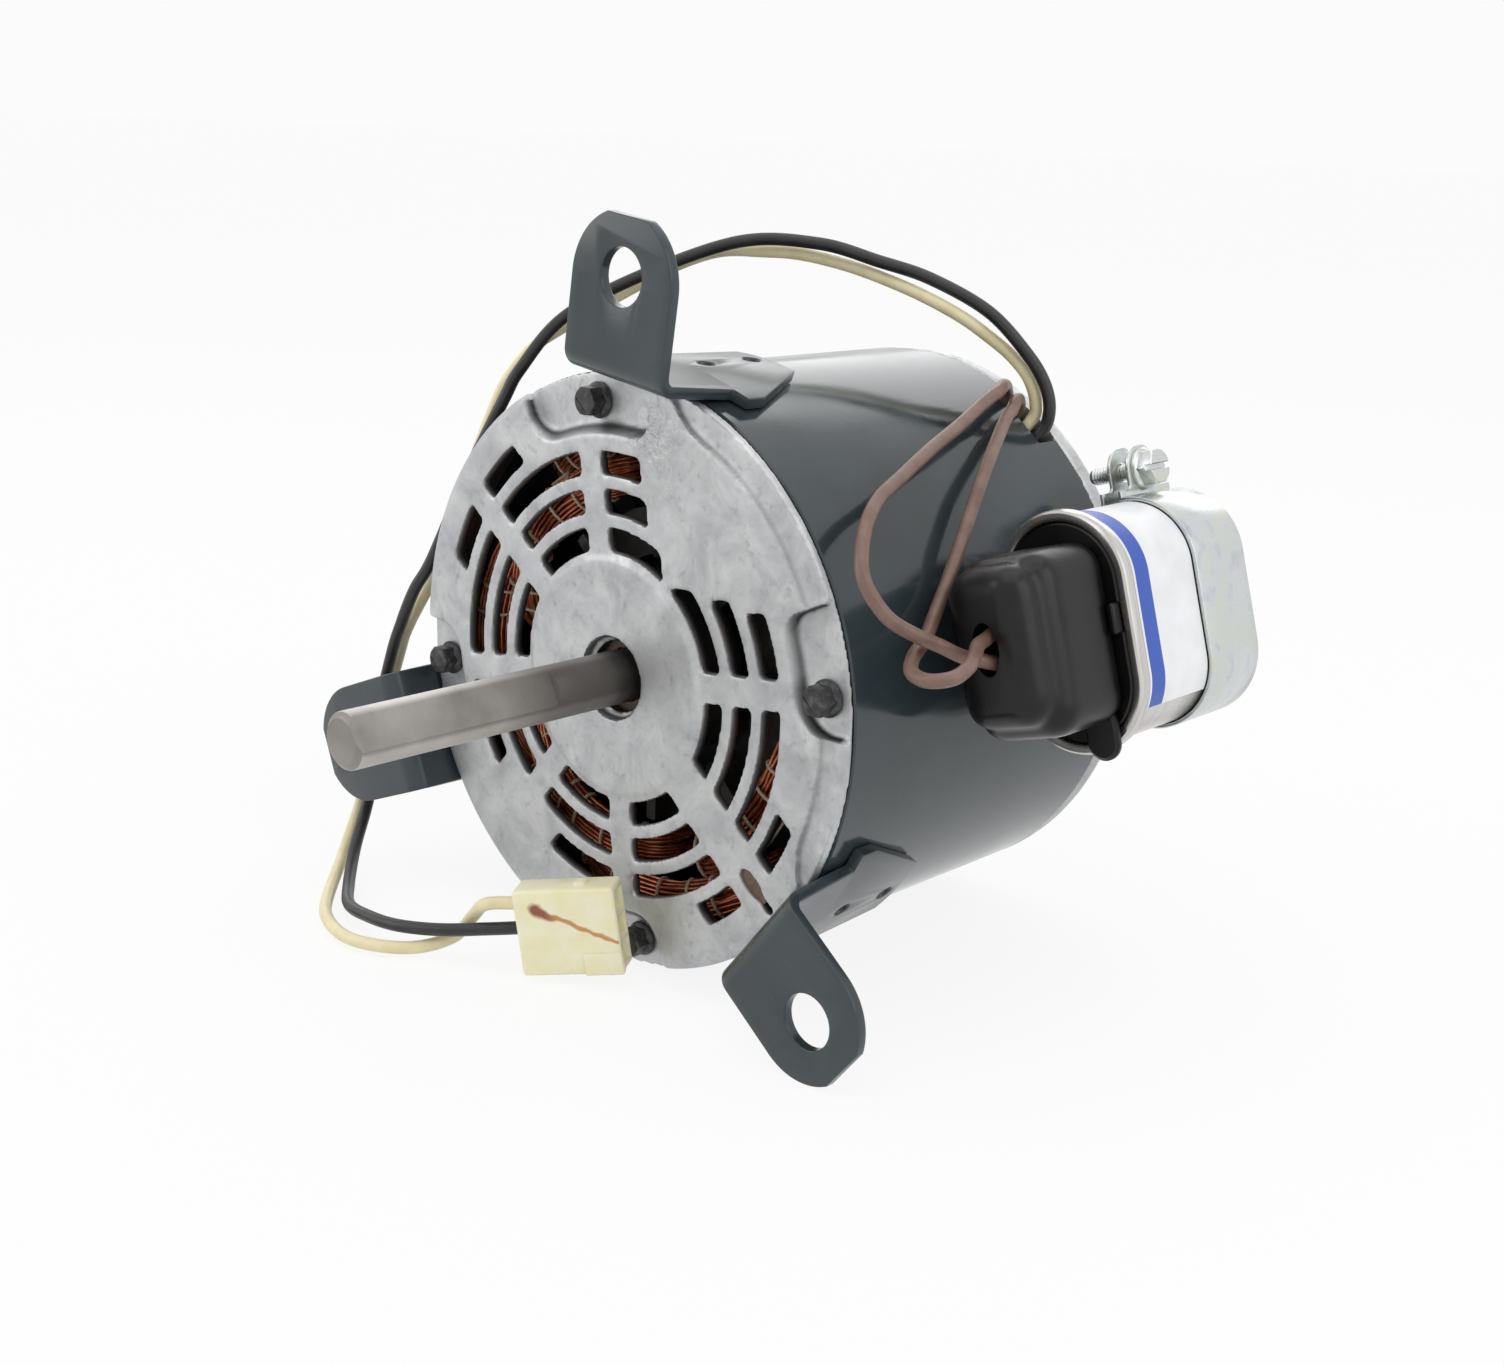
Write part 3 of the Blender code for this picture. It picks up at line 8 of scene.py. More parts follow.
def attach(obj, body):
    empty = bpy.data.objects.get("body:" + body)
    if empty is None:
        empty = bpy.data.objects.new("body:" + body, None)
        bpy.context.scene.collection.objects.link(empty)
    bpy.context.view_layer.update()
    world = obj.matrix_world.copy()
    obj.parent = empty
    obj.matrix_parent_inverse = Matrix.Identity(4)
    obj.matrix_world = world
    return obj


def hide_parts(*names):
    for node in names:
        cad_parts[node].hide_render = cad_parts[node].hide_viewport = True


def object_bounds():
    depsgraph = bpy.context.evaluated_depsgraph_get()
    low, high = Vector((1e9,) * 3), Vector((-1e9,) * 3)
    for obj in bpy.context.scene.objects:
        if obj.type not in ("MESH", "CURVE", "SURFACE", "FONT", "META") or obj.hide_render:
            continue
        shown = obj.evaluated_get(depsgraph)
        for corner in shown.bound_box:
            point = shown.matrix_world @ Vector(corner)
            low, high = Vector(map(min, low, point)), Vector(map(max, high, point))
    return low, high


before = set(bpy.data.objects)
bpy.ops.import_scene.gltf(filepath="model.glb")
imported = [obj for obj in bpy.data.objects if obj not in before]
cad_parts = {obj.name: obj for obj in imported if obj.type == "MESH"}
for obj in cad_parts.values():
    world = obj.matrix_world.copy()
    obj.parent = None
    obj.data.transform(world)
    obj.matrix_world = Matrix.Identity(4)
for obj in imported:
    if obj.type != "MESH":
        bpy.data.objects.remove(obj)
cad_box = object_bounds()
MM = 0.001

# Camera
# The photograph's own view: from the right of the shaft and a little above it, rolled by two degrees.
# The sensor is 36 mm wide, and the lens gives the photograph's frame.
CAMERA_PLACE = (0.3145, -0.2176, 0.1246)
CAMERA_AZIMUTH = math.radians(42.60)
CAMERA_ELEVATION = math.radians(16.16)
CAMERA_ROLL = math.radians(2.39)
CAMERA_LENS = 45.605
SENSOR_WIDTH = 36.0
NEAR_CLIP = 0.01

bpy.ops.object.select_all(action="DESELECT")
bpy.ops.object.camera_add(location=CAMERA_PLACE,
                          rotation=(math.pi / 2 - CAMERA_ELEVATION, 0, CAMERA_AZIMUTH))
camera = bpy.context.object
camera.name = "photo_camera"
camera.rotation_euler.rotate_axis("Z", CAMERA_ROLL)
camera.data.lens = CAMERA_LENS
camera.data.sensor_width = SENSOR_WIDTH
camera.data.clip_start = NEAR_CLIP
bpy.context.scene.camera = camera
bpy.context.scene.view_settings.view_transform = "Standard"

# Studio
# A white sweep with soft lamps overhead and on both sides, and a bright card behind that shows in gloss only.
# The white of floor and background is for what looks at them, so that it adds no light to the motor.
FLOOR_SIZE = 60.0
AMBIENT = 0.66
FLOOR_GLOW = 0.88
LIT_PLACE = Vector((0.0, 0.12, 0.0))
LAMPS = {
    "overhead_lamp": {"place": (0.1, 0.0, 1.3), "size": (1.4, 1.4), "watts": 5.0, "gloss_only": False},
    "left_lamp": {"place": (-1.1, -0.9, 0.6), "size": (1.0, 1.0), "watts": 4.5, "gloss_only": False},
    "right_lamp": {"place": (1.2, 0.3, 0.7), "size": (1.0, 1.0), "watts": 4.0, "gloss_only": False},
    "back_card": {"place": (-0.98, 1.18, 0.74), "size": (2.4, 0.9), "watts": 8.0, "gloss_only": True},
}


def colour(hex_value):
    """An sRGB hex value as linear red, green, blue and a full alpha."""
    parts = [int(hex_value[i:i + 2], 16) / 255 for i in (0, 2, 4)]
    return [c / 12.92 if c <= 0.04045 else ((c + 0.055) / 1.055) ** 2.4 for c in parts] + [1.0]


def set_inputs(node, inputs):
    """Gives each input a value or a link; a node given as a value stands for its first output in use."""
    for name, value in inputs.items():
        if isinstance(value, bpy.types.Node):
            value = next(output for output in value.outputs if output.enabled)
        if isinstance(value, bpy.types.NodeSocket):
            node.id_data.links.new(value, node.inputs[name])
        else:
            node.inputs[name].default_value = value


def add_node(owner, kind, inputs=None, stops=None, **settings):
    """A new node of a material or world with its settings, inputs and, on a ramp, its colour stops."""
    node = owner.node_tree.nodes.new("ShaderNode" + kind)
    for name, value in settings.items():
        setattr(node, name, value)
    set_inputs(node, inputs or {})
    if stops:
        ramp = node.color_ramp
        ramp.elements.remove(ramp.elements[1])
        for number, (place, hex_value) in enumerate(stops):
            element = ramp.elements.new(place) if number else ramp.elements[0]
            element.position = place
            element.color = colour(hex_value)
    return node


def new_material(name):
    """A material with its shader."""
    material = bpy.data.materials.new(name)
    material.use_nodes = True
    return material, material.node_tree.nodes["Principled BSDF"]


def seen_directly(owner):
    """1 for rays from the camera and for mirror and glass rays, 0 for the rays that light the motor."""
    path = add_node(owner, "LightPath").outputs
    mirror = add_node(owner, "Math", {0: path["Is Camera Ray"], 1: path["Is Glossy Ray"]},
                      operation="MAXIMUM")
    return add_node(owner, "Math", {0: mirror, 1: path["Is Transmission Ray"]}, operation="MAXIMUM")


world = bpy.data.worlds.new("white_studio")
world.use_nodes = True
bpy.context.scene.world = world
ambient_light = world.node_tree.nodes["Background"]
set_inputs(ambient_light, {"Color": colour("ffffff"), "Strength": AMBIENT})
backdrop = add_node(world, "Background", {"Color": colour("fbfbfb"), "Strength": 1.0})
sky = add_node(world, "MixShader", {0: seen_directly(world), 1: ambient_light, 2: backdrop})
set_inputs(world.node_tree.nodes["World Output"], {"Surface": sky})

for lamp_name, lamp in LAMPS.items():
    bpy.ops.object.light_add(type="AREA", location=lamp["place"])
    light = bpy.context.object
    light.name = lamp_name
    light.rotation_euler = (LIT_PLACE - Vector(lamp["place"])).to_track_quat("-Z", "Y").to_euler()
    light.data.shape = "RECTANGLE"
    light.data.size, light.data.size_y = lamp["size"]
    light.data.energy = lamp["watts"]
    light.visible_diffuse = not lamp["gloss_only"]

bpy.ops.object.select_all(action="DESELECT")
bpy.ops.mesh.primitive_plane_add(size=FLOOR_SIZE, location=(0, 0, cad_box[0].z))
floor = bpy.context.object
floor.name = "studio_floor"

# Matt white paper: no gloss, and a soft grey shadow under the motor.
paper, shader = new_material("white_paper")
set_inputs(shader, {"Base Color": colour("f4f4f4"), "Roughness": 0.9})
glow = add_node(paper, "Emission", {"Color": colour("ffffff"), "Strength": 1.0})
glow_share = add_node(paper, "Math", {0: seen_directly(paper), 1: FLOOR_GLOW}, operation="MULTIPLY")
lit_paper = add_node(paper, "MixShader", {0: glow_share, 1: shader, 2: glow})
set_inputs(paper.node_tree.nodes["Material Output"], {"Surface": lit_paper})
floor.data.materials.append(paper)

# Shell
# A tube rolled from 1.5 mm steel sheet, dipped in grey-green enamel and clamped between the two end shields.
# A notch in its rear edge lets the leads out.
SHELL_RADIUS = 71.0
SHELL_WALL = 1.5
SHELL_ENDS = (80.2, 181.9)
SHELL_EDGE = 0.4
NOTCH_ANGLES = (48.5, 63.0)
NOTCH_DEPTH = 7.5
ROUND_SEGMENTS = 192
CUT_PAST = 4.0  # how far a cutter goes past what it cuts
SHADE_ANGLE = math.radians(32)


def start_from(add_primitive, scale=(1, 1, 1), **settings):
    """A new primitive with its place, turn and size in its mesh, in edit mode and selected all over."""
    bpy.ops.object.select_all(action="DESELECT")
    add_primitive(**settings)
    piece = bpy.context.object
    piece.scale = scale
    bpy.ops.object.transform_apply()
    bpy.ops.object.mode_set(mode="EDIT")
    bpy.ops.mesh.select_all(action="SELECT")
    return piece


def pick(piece, kind, test):
    """In edit mode, selects the verts, edges or faces that pass a test, and nothing else."""
    bpy.ops.mesh.select_mode(type={"verts": "VERT", "edges": "EDGE", "faces": "FACE"}[kind])
    bpy.ops.mesh.select_all(action="DESELECT")
    shape = bmesh.from_edit_mesh(piece.data)
    for element in getattr(shape, kind):
        if test(element):
            element.select_set(True)
    bmesh.update_edit_mesh(piece.data)


def make_oval(piece, stretch):
    """In edit mode, moves the upper and the lower half of a ring apart."""
    for side in (1, -1):
        pick(piece, "verts", lambda vert: vert.co.z * side > 0)
        bpy.ops.transform.translate(value=(0, 0, side * stretch * MM))


def close_mesh():
    """Merges double points, fills open ends, turns the faces outwards and leaves edit mode."""
    bpy.ops.mesh.select_all(action="SELECT")
    bpy.ops.mesh.remove_doubles(threshold=0.001 * MM)
    bpy.ops.mesh.select_all(action="SELECT")
    bpy.ops.mesh.fill_holes(sides=0)
    bpy.ops.mesh.select_all(action="SELECT")
    bpy.ops.mesh.normals_make_consistent(inside=False)
    bpy.ops.object.mode_set(mode="OBJECT")


def drawn(profile, segments, stretch=0.0, closed=True):
    """A ring drawn out along the shaft through a profile of radius and place; a stretch makes it an oval."""
    radius, place = profile[0]
    piece = start_from(bpy.ops.mesh.primitive_circle_add, vertices=segments, radius=radius * MM,
                       location=(0, place * MM, 0), rotation=(math.pi / 2, math.pi / segments, 0))
    for next_radius, next_place in profile[1:] + (profile[:1] if closed else []):
        bpy.ops.mesh.extrude_edges_move(TRANSFORM_OT_translate={"value": (0, (next_place - place) * MM, 0)})
        scale = next_radius / radius
        bpy.ops.transform.resize(value=(scale, 1, scale), center_override=(0, next_place * MM, 0))
        radius, place = next_radius, next_place
    if stretch:
        make_oval(piece, stretch)
    close_mesh()
    return piece


def make_active(piece):
    bpy.ops.object.select_all(action="DESELECT")
    piece.select_set(True)
    bpy.context.view_layer.objects.active = piece


def modify(piece, kind, **settings):
    """Adds a modifier and applies it."""
    make_active(piece)
    change = piece.modifiers.new(kind.lower(), kind)
    for name, value in settings.items():
        setattr(change, name, value)
    bpy.ops.object.modifier_apply(modifier=change.name)


def cut(piece, cutter, operation="DIFFERENCE"):
    """Cuts a shape out of a piece, or joins it on, and removes the cutter."""
    modify(piece, "BOOLEAN", operation=operation, solver="EXACT", object=cutter)
    bpy.data.objects.remove(cutter)


def shift(piece, x, y, z):
    """Moves a piece in its mesh, by millimetres."""
    piece.data.transform(Matrix.Translation(Vector((x, y, z)) * MM))
    return piece


def turn(piece, angle):
    """Turns a piece about the shaft, from +X towards +Z, in its mesh."""
    piece.data.transform(Matrix.Rotation(-math.radians(angle), 4, "Y"))
    return piece


def arc_block(radii, angles, ends, steps=12):
    """A rectangle swept round the shaft from one angle to another."""
    block = start_from(bpy.ops.mesh.primitive_plane_add, (radii[1] - radii[0], ends[1] - ends[0], 1), size=MM,
                       location=(sum(radii) / 2 * MM, sum(ends) / 2 * MM, 0))
    sweep = math.radians(angles[1] - angles[0])
    bpy.ops.mesh.spin(steps=steps, angle=sweep, center=(0, 0, 0), axis=(0, 1, 0))
    close_mesh()
    return turn(block, angles[0])


def fit(piece, name, material, body="motor_frame"):
    """Gives a piece its name, its material and the body that it rides on."""
    piece.name = name
    piece.data.name = name
    piece.data.materials.clear()
    piece.data.materials.append(material)
    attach(piece, body)


def finish_piece(piece, name, material, slot, *nodes, body="motor_frame"):
    """Shades a piece's soft edges smooth, fits it and hides the nodes that it stands for."""
    make_active(piece)
    bpy.ops.object.shade_smooth_by_angle(angle=SHADE_ANGLE)
    fit(piece, name, material, body)
    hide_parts(*nodes)


start, end = SHELL_ENDS
inside = SHELL_RADIUS - SHELL_WALL
shell_profile = [(SHELL_RADIUS - SHELL_EDGE, start), (SHELL_RADIUS, start + SHELL_EDGE)]
shell_profile += [(SHELL_RADIUS, end - SHELL_EDGE), (SHELL_RADIUS - SHELL_EDGE, end)]
shell_profile += [(inside + SHELL_EDGE, end), (inside, end - SHELL_EDGE)]
shell_profile += [(inside, start + SHELL_EDGE), (inside + SHELL_EDGE, start)]
shell = drawn(shell_profile, ROUND_SEGMENTS)
cut(shell, arc_block((inside - CUT_PAST, SHELL_RADIUS + CUT_PAST), NOTCH_ANGLES,
                     (end - NOTCH_DEPTH, end + CUT_PAST)))

# Baked enamel over steel: dark grey-green, glossy, with a faint orange peel and a few duller patches.
PEEL = 1.6 * MM
DULL_PATCH = 25 * MM
MOST_TONES = (0.3, 0.7)  # nearly all of a noise lies between these


def mottled(name, patch, detail, stops, finish, dulling=None, relief=None, **pattern):
    """A material with soft patches of a size between its colour stops.

    Dulling is the roughness from the first to the last tones. Relief is a bump's strength and depth, and then
    the size and detail of its grain where it doesn't follow the patches.
    """
    material, shader = new_material(name)
    place = add_node(material, "TexCoord").outputs["Object"]
    patches = add_node(material, "TexNoise", {"Vector": place, "Scale": 1 / patch, "Detail": detail,
                                              **pattern})
    set_inputs(shader, {"Base Color": add_node(material, "ValToRGB", {"Fac": patches}, stops), **finish})
    if dulling:
        tones = {"Value": patches, "From Min": MOST_TONES[0], "From Max": MOST_TONES[1]}
        roughness = {"To Min": dulling[0], "To Max": dulling[1]}
        set_inputs(shader, {"Roughness": add_node(material, "MapRange", {**tones, **roughness})})
    if relief:
        strength, depth, *grain = relief
        height = patches
        if grain:
            size, fineness = grain
            height = add_node(material, "TexNoise", {"Vector": place, "Scale": 1 / size, "Detail": fineness})
        bump = add_node(material, "Bump", {"Height": height, "Strength": strength, "Distance": depth})
        set_inputs(shader, {"Normal": bump})
    return material


def enamel(name, roughness):
    return mottled(name, DULL_PATCH, 5.0, ((0.3, "2b3437"), (0.7, "353f43")), {"IOR": 1.52},
                   dulling=(roughness - 0.05, roughness + 0.07), relief=(0.05, 0.2 * MM, PEEL, 1.0))


gloss_enamel = enamel("gloss_enamel", 0.13)
finish_piece(shell, "shell", gloss_enamel, "grey_green_paint", "motor_shell")

# Front end shield
# A die-cast aluminium end frame: a flat face with four rings of ventilation slots between eight ribs, a low
# boss round the shaft and a pocket in the rim for each bolt. Its spigot fits inside the shell.
FACE = 76.0
HUB_OPENING = 10.0
BOSS_RADIUS = 28.0
BOSS_HEIGHT = 0.6
HUB_LIP = (8.5, 78.0)
HUB_LIP_DEPTH = 2.0
LAND_INNER = 64.6
LAND_DEPTH = 1.4
LAND_SPANS = ((25.6, 78.0), (-32.0, 0.8))
LAND_CORNERS = ((1.0, 16.0), (16.0, 1.0))
RIM_ROUND = 2.6
RIM_BACK = 79.9
WEB_BACK = 78.8
WEB_FILLET = 1.2
SPIGOT_RADIUS = 69.2
SPIGOT_INNER = 67.0
SPIGOT_END = 87.9
RIM_INNER = 54.75
HUB_RADIUS = 22.0
HOUSING_RADIUS = 19.0
HUB_END = 97.0
RING_OVERLAP = 0.6  # how far spigot and hub reach into the web
FIRST_SLOT = 30.0
SLOT_PITCH = 8.8
SLOT_WIDTH = 5.5
SLOT_CORNER = 1.1
SLOT_PAST = 8.0  # degrees that a slot's arc goes past its two ends before they are cut
RIB_HALF_WIDTH = 3.5
WIDE_RIB_HALF_WIDTH = 6.0
WIDE_RIB = 7
RIB_ANGLES = (8.1, 53.2, 100.4, 144.6, 189.4, 231.7, 275.7, 321.0, 368.1)
OUTER_SLOT_REACH = 19.0
RIGHT_SLOT_REACHES = (22.0, 20.1, 17.8)
TOP_SLOT_REACHES = (20.1, 17.1, 16.4)
PLAIN_CORNER_REACH = 12.7
BOLT_ANGLES = (8.35, 98.35, 188.35, 278.35)
BOLT_CIRCLE = 64.5
BOLT_HOLE = 2.4
POCKET_SPANS = ((-7.4, 17.1), (-17.0, 20.0), (-9.0, 15.0), (-17.1, 7.4))
POCKET_INNER = 56.8
POCKET_FLOOR = 79.2
POCKET_CORNERS = ((9.0, 5.0), (4.0, 8.5), (9.0, 5.0), (5.0, 9.0))
POCKET_SLOPE = 2.6
POCKET_PAST = 14.0  # how far a pocket's outline goes past the rim
SLIT_OUTLINE = ((55.2, 0.0), (57.5, 1.9), (61.5, 2.0), (64.5, 0.9), (67.8, 1.3), (68.4, 0.0))
CAST_VOXEL = 0.64
RECESS_DEPTH = 2.2
WALL_STEEPNESS = 2.4


def rim_round(face, direction):
    """Rounded outer edge of a shield, from its face to its side."""
    points = []
    for angle in (0, 22.5, 45, 67.5, 90):
        turned_by = math.radians(angle)
        points.append((SHELL_RADIUS - RIM_ROUND * (1 - math.sin(turned_by)),
                       face + direction * RIM_ROUND * (1 - math.cos(turned_by))))
    return points


def round_corners(block, radius):
    """Rounds the corner edges of a block that run along the shaft, and leaves edit mode."""
    def is_corner(edge):
        along = edge.verts[0].co - edge.verts[1].co
        return abs(along.y) > 0.9 * along.length and edge.calc_face_angle(0) > 0.6

    pick(block, "edges", is_corner)
    bpy.ops.mesh.bevel(offset=radius * MM, segments=4, affect="EDGES")
    close_mesh()


def slot_cutter(ring, low, high):
    """One slot; each end is a rib's number and a distance from the rib's axis, and lies parallel to it."""
    inner = FIRST_SLOT + ring * SLOT_PITCH
    ends = [RIB_ANGLES[rib] + math.degrees(math.asin(offset / inner)) for rib, offset in (low, high)]
    block = arc_block((inner, inner + SLOT_WIDTH), (ends[0] - SLOT_PAST, ends[1] + SLOT_PAST),
                      (FACE - CUT_PAST, SPIGOT_END + CUT_PAST), 20)
    bpy.ops.object.mode_set(mode="EDIT")
    for (rib, offset), side in ((low, -1), (high, 1)):
        rib_angle = math.radians(RIB_ANGLES[rib])
        across = Vector((-math.sin(rib_angle), 0, math.cos(rib_angle)))
        bpy.ops.mesh.select_all(action="SELECT")
        bpy.ops.mesh.bisect(plane_co=across * offset * MM, plane_no=across * side, use_fill=True,
                            clear_outer=True)
    round_corners(block, SLOT_CORNER)
    return block


def cylinder(radius, ends, segments=24):
    """A plain round bar along the shaft's axis."""
    return drawn([(radius, ends[0]), (radius, ends[1])], segments, closed=False)


def polar(radius, angle):
    """x and z of a point at an angle about the shaft."""
    return radius * math.cos(math.radians(angle)), radius * math.sin(math.radians(angle))


def bolt_cutters(ends):
    """The four bolt holes."""
    cutters = []
    for angle in BOLT_ANGLES:
        x, z = polar(BOLT_CIRCLE, angle)
        cutters.append(shift(cylinder(BOLT_HOLE, ends), x, 0, z))
    return join(cutters)


def mark_painted_recess_shade(piece):
    """Marks the walls behind the face, in slots, pockets and the hub, for the painted shade on them."""
    marks = piece.data.attributes.new("painted_recess_shade", "FLOAT", "POINT")
    for vert, mark in zip(piece.data.vertices, marks.data):
        behind = min(max((vert.co.y / MM - FACE) / RECESS_DEPTH, 0), 1)
        steepness = min(WALL_STEEPNESS * (1 - abs(vert.normal.y)), 1)
        on_face = math.hypot(vert.co.x, vert.co.z) < SPIGOT_RADIUS * MM
        mark.value = behind * steepness if on_face else 0


def loft_block(levels):
    """A block through outlines of x and z with as many points each, all at their places along the shaft."""
    count = len(levels[0][0])
    points = [(x * MM, place * MM, z * MM) for outline, place in levels for x, z in outline]
    faces = [list(range(count)), list(range(len(points) - count, len(points)))]
    for first in range(0, len(points) - count, count):
        for i in range(count):
            after = (i + 1) % count
            faces.append((first + i, first + after, first + count + after, first + count + i))
    mesh = bpy.data.meshes.new("loft_block")
    mesh.from_pydata(points, [], faces)
    block = bpy.data.objects.new("loft_block", mesh)
    bpy.context.collection.objects.link(block)
    make_active(block)
    bpy.ops.object.mode_set(mode="EDIT")
    close_mesh()
    return block


def knife_block(outline, ends):
    """A block shaped like a knife on the wide rib, from distances out and half widths, between two places."""
    outline = list(outline) + [(along, -half) for along, half in reversed(outline[1:-1])]
    return turn(loft_block([(outline, place) for place in ends]), RIB_ANGLES[WIDE_RIB])


def pocket_outline(inner, ends, corners):
    """Outline of a pocket that is open at the rim, with a corner radius at each of its two inner ends."""
    low, high = [angle + side * math.degrees(math.asin(radius / (inner + radius)))
                 for angle, radius, side in zip(ends, corners, (1, -1))]
    bends = [(low, corners[0], low - 90 - 15 * i) for i in range(7)]
    far_bends = [(high, corners[1], high + 180 - 15 * i) for i in range(7)]
    arc = [polar(inner, low + (high - low) * i / 12) for i in range(1, 12)]
    rounds = [[tuple(a + b for a, b in zip(polar(inner + radius, middle), polar(radius, facing)))
               for middle, radius, facing in turns] for turns in (bends, far_bends)]
    rim_points = [polar(SHELL_RADIUS + POCKET_PAST, angle) for angle in ends]
    return [rim_points[0], *rounds[0], *arc, *rounds[1], rim_points[1]]


def join(pieces):
    """One object of several."""
    make_active(pieces[0])
    for piece in pieces:
        piece.select_set(True)
    bpy.ops.object.join()
    return pieces[0]


def soften_casting(piece, voxel):
    """Rounds all edges of a casting a little, as a worn mould does."""
    modify(piece, "REMESH", mode="VOXEL", voxel_size=voxel * MM)
    modify(piece, "SMOOTH", factor=0.5, iterations=3)


face_profile = [(HUB_OPENING, FACE - BOSS_HEIGHT), (BOSS_RADIUS, FACE - BOSS_HEIGHT)]
face_profile += [(BOSS_RADIUS + BOSS_HEIGHT, FACE)] + rim_round(FACE, 1)
face_profile += [(SHELL_RADIUS, RIM_BACK), (RIM_INNER, RIM_BACK), (RIM_INNER - WEB_FILLET, WEB_BACK)]
lip_radius, lip_front = HUB_LIP
lip_back = lip_front + HUB_LIP_DEPTH
face_profile += [(HUB_RADIUS, WEB_BACK), (HUB_RADIUS, lip_back), (lip_radius, lip_back), HUB_LIP]
face_profile += [(HUB_OPENING, lip_front)]
front_shield = drawn(face_profile, ROUND_SEGMENTS)

half = RIB_HALF_WIDTH
wide = WIDE_RIB_HALF_WIDTH
slots = []
for ring in range(3):
    corner = PLAIN_CORNER_REACH if ring == 2 else half
    slot_ends = [((0, half), (0, RIGHT_SLOT_REACHES[ring])), ((2, -TOP_SLOT_REACHES[ring]), (2, -half))]
    slot_ends += [((2, half), (3, -half)), ((3, half), (4, -half)), ((4, half), (5, -corner))]
    slot_ends += [((5, corner), (6, -half)), ((6, half), (7, -wide)), ((7, wide), (8, -half))]
    slots += [slot_cutter(ring, low, high) for low, high in slot_ends]
for rib, edge in ((3, half), (WIDE_RIB, wide)):
    slots.append(slot_cutter(3, (rib, -OUTER_SLOT_REACH), (rib, -edge)))
    slots.append(slot_cutter(3, (rib, edge), (rib, OUTER_SLOT_REACH)))
cut(front_shield, join(slots))

before_face = FACE - CUT_PAST
pocket_levels = ((POCKET_INNER, before_face), (POCKET_INNER, FACE),
                 (POCKET_INNER + POCKET_SLOPE, POCKET_FLOOR))
pockets = []
for bolt_angle, (low, high), corners in zip(BOLT_ANGLES, POCKET_SPANS, POCKET_CORNERS):
    pocket_ends = (bolt_angle + low, bolt_angle + high)
    pockets.append(loft_block([(pocket_outline(inner, pocket_ends, corners), place)
                               for inner, place in pocket_levels]))
cut(front_shield, join(pockets))
for span, corners in zip(LAND_SPANS, LAND_CORNERS):
    cut(front_shield, loft_block([(pocket_outline(LAND_INNER, span, corners), place)
                                  for place in (before_face, FACE + LAND_DEPTH)]))
cut(front_shield, bolt_cutters((before_face, SPIGOT_END + CUT_PAST)))
cut(front_shield, knife_block(SLIT_OUTLINE, (before_face, RIM_BACK + CUT_PAST)))
soften_casting(front_shield, CAST_VOXEL)
rings = []
for outer, inner, front, back in ((SPIGOT_RADIUS, SPIGOT_INNER, RIM_BACK - RING_OVERLAP, SPIGOT_END),
                                  (HUB_RADIUS, HOUSING_RADIUS, WEB_BACK - RING_OVERLAP, HUB_END)):
    rings.append(drawn([(outer, front), (outer, back), (inner, back), (inner, front)], ROUND_SEGMENTS))
front_shield = join([front_shield, *rings])
mark_painted_recess_shade(front_shield)

# Die-cast aluminium, unpainted: dull silver grey with swirling flow marks some millimetres wide, a fine
# grain, darker oily stains and scuffs, and a lumpy scar where the gate was broken off. Painted shade darkens
# the walls of the slots, pockets and hub behind the face.
FLOW_MARK = 11 * MM
SCUFF = 3 * MM
GATE_SCAR = polar(60.0, 79.0)
SCAR_REACH = 10.0
SCAR_LUMP = 1.8 * MM
STAIN = 18 * MM
CAST_GRAIN = 0.6 * MM
SHARE, UNDER, OVER = 0, 6, 7  # sockets of a colour mix

casting, shader = new_material("cast_aluminium")
place = add_node(casting, "TexCoord").outputs["Object"]
flow = add_node(casting, "TexNoise", {"Vector": place, "Scale": 1 / FLOW_MARK, "Detail": 7.0,
                                      "Roughness": 0.68, "Distortion": 0.5})
skin = add_node(casting, "ValToRGB", {"Fac": flow}, ((0.3, "a9aaac"), (0.5, "bbbcbd"), (0.7, "cccdcd")))
for size, pattern, tones, most, dirt in (
        (STAIN, {"Detail": 3.0, "Distortion": 0.8}, (0.56, 0.75), 0.3, "8d8c89"),
        (SCUFF, {"Detail": 9.0, "Roughness": 0.7}, (0.55, 0.74), 0.6, "808183")):
    marks = add_node(casting, "TexNoise", {"Vector": place, "Scale": 1 / size, **pattern})
    share = add_node(casting, "MapRange", {"Value": marks, "From Min": tones[0], "From Max": tones[1],
                                           "To Max": most})
    skin = add_node(casting, "Mix", {SHARE: share, UNDER: skin, OVER: colour(dirt)}, data_type="RGBA")
# Painted shade: the marked walls behind the face are mixed towards near black.
painted_recess_shade = add_node(casting, "Attribute", attribute_name="painted_recess_shade").outputs["Fac"]
shaded = add_node(casting, "Mix", {SHARE: painted_recess_shade, UNDER: skin, OVER: colour("363637")}, data_type="RGBA")
dull = add_node(casting, "MapRange", {"Value": flow, "From Min": MOST_TONES[0], "From Max": MOST_TONES[1],
                                      "To Min": 0.56, "To Max": 0.38})
scar_place = Vector((GATE_SCAR[0], FACE, GATE_SCAR[1])) * MM
from_scar = add_node(casting, "VectorMath", {0: place, 1: scar_place}, operation="DISTANCE")
scar = add_node(casting, "MapRange", {"Value": from_scar, "From Max": SCAR_REACH * MM, "To Min": 1.0,
                                      "To Max": 0.0})
lumps = add_node(casting, "TexNoise", {"Vector": place, "Scale": 1 / SCAR_LUMP, "Detail": 4.0})
scar_height = add_node(casting, "Math", {0: scar, 1: lumps}, operation="MULTIPLY")
relief = add_node(casting, "Bump", {"Height": scar_height, "Distance": 2.2 * MM})
grain = add_node(casting, "TexNoise", {"Vector": place, "Scale": 1 / CAST_GRAIN, "Detail": 3.0})
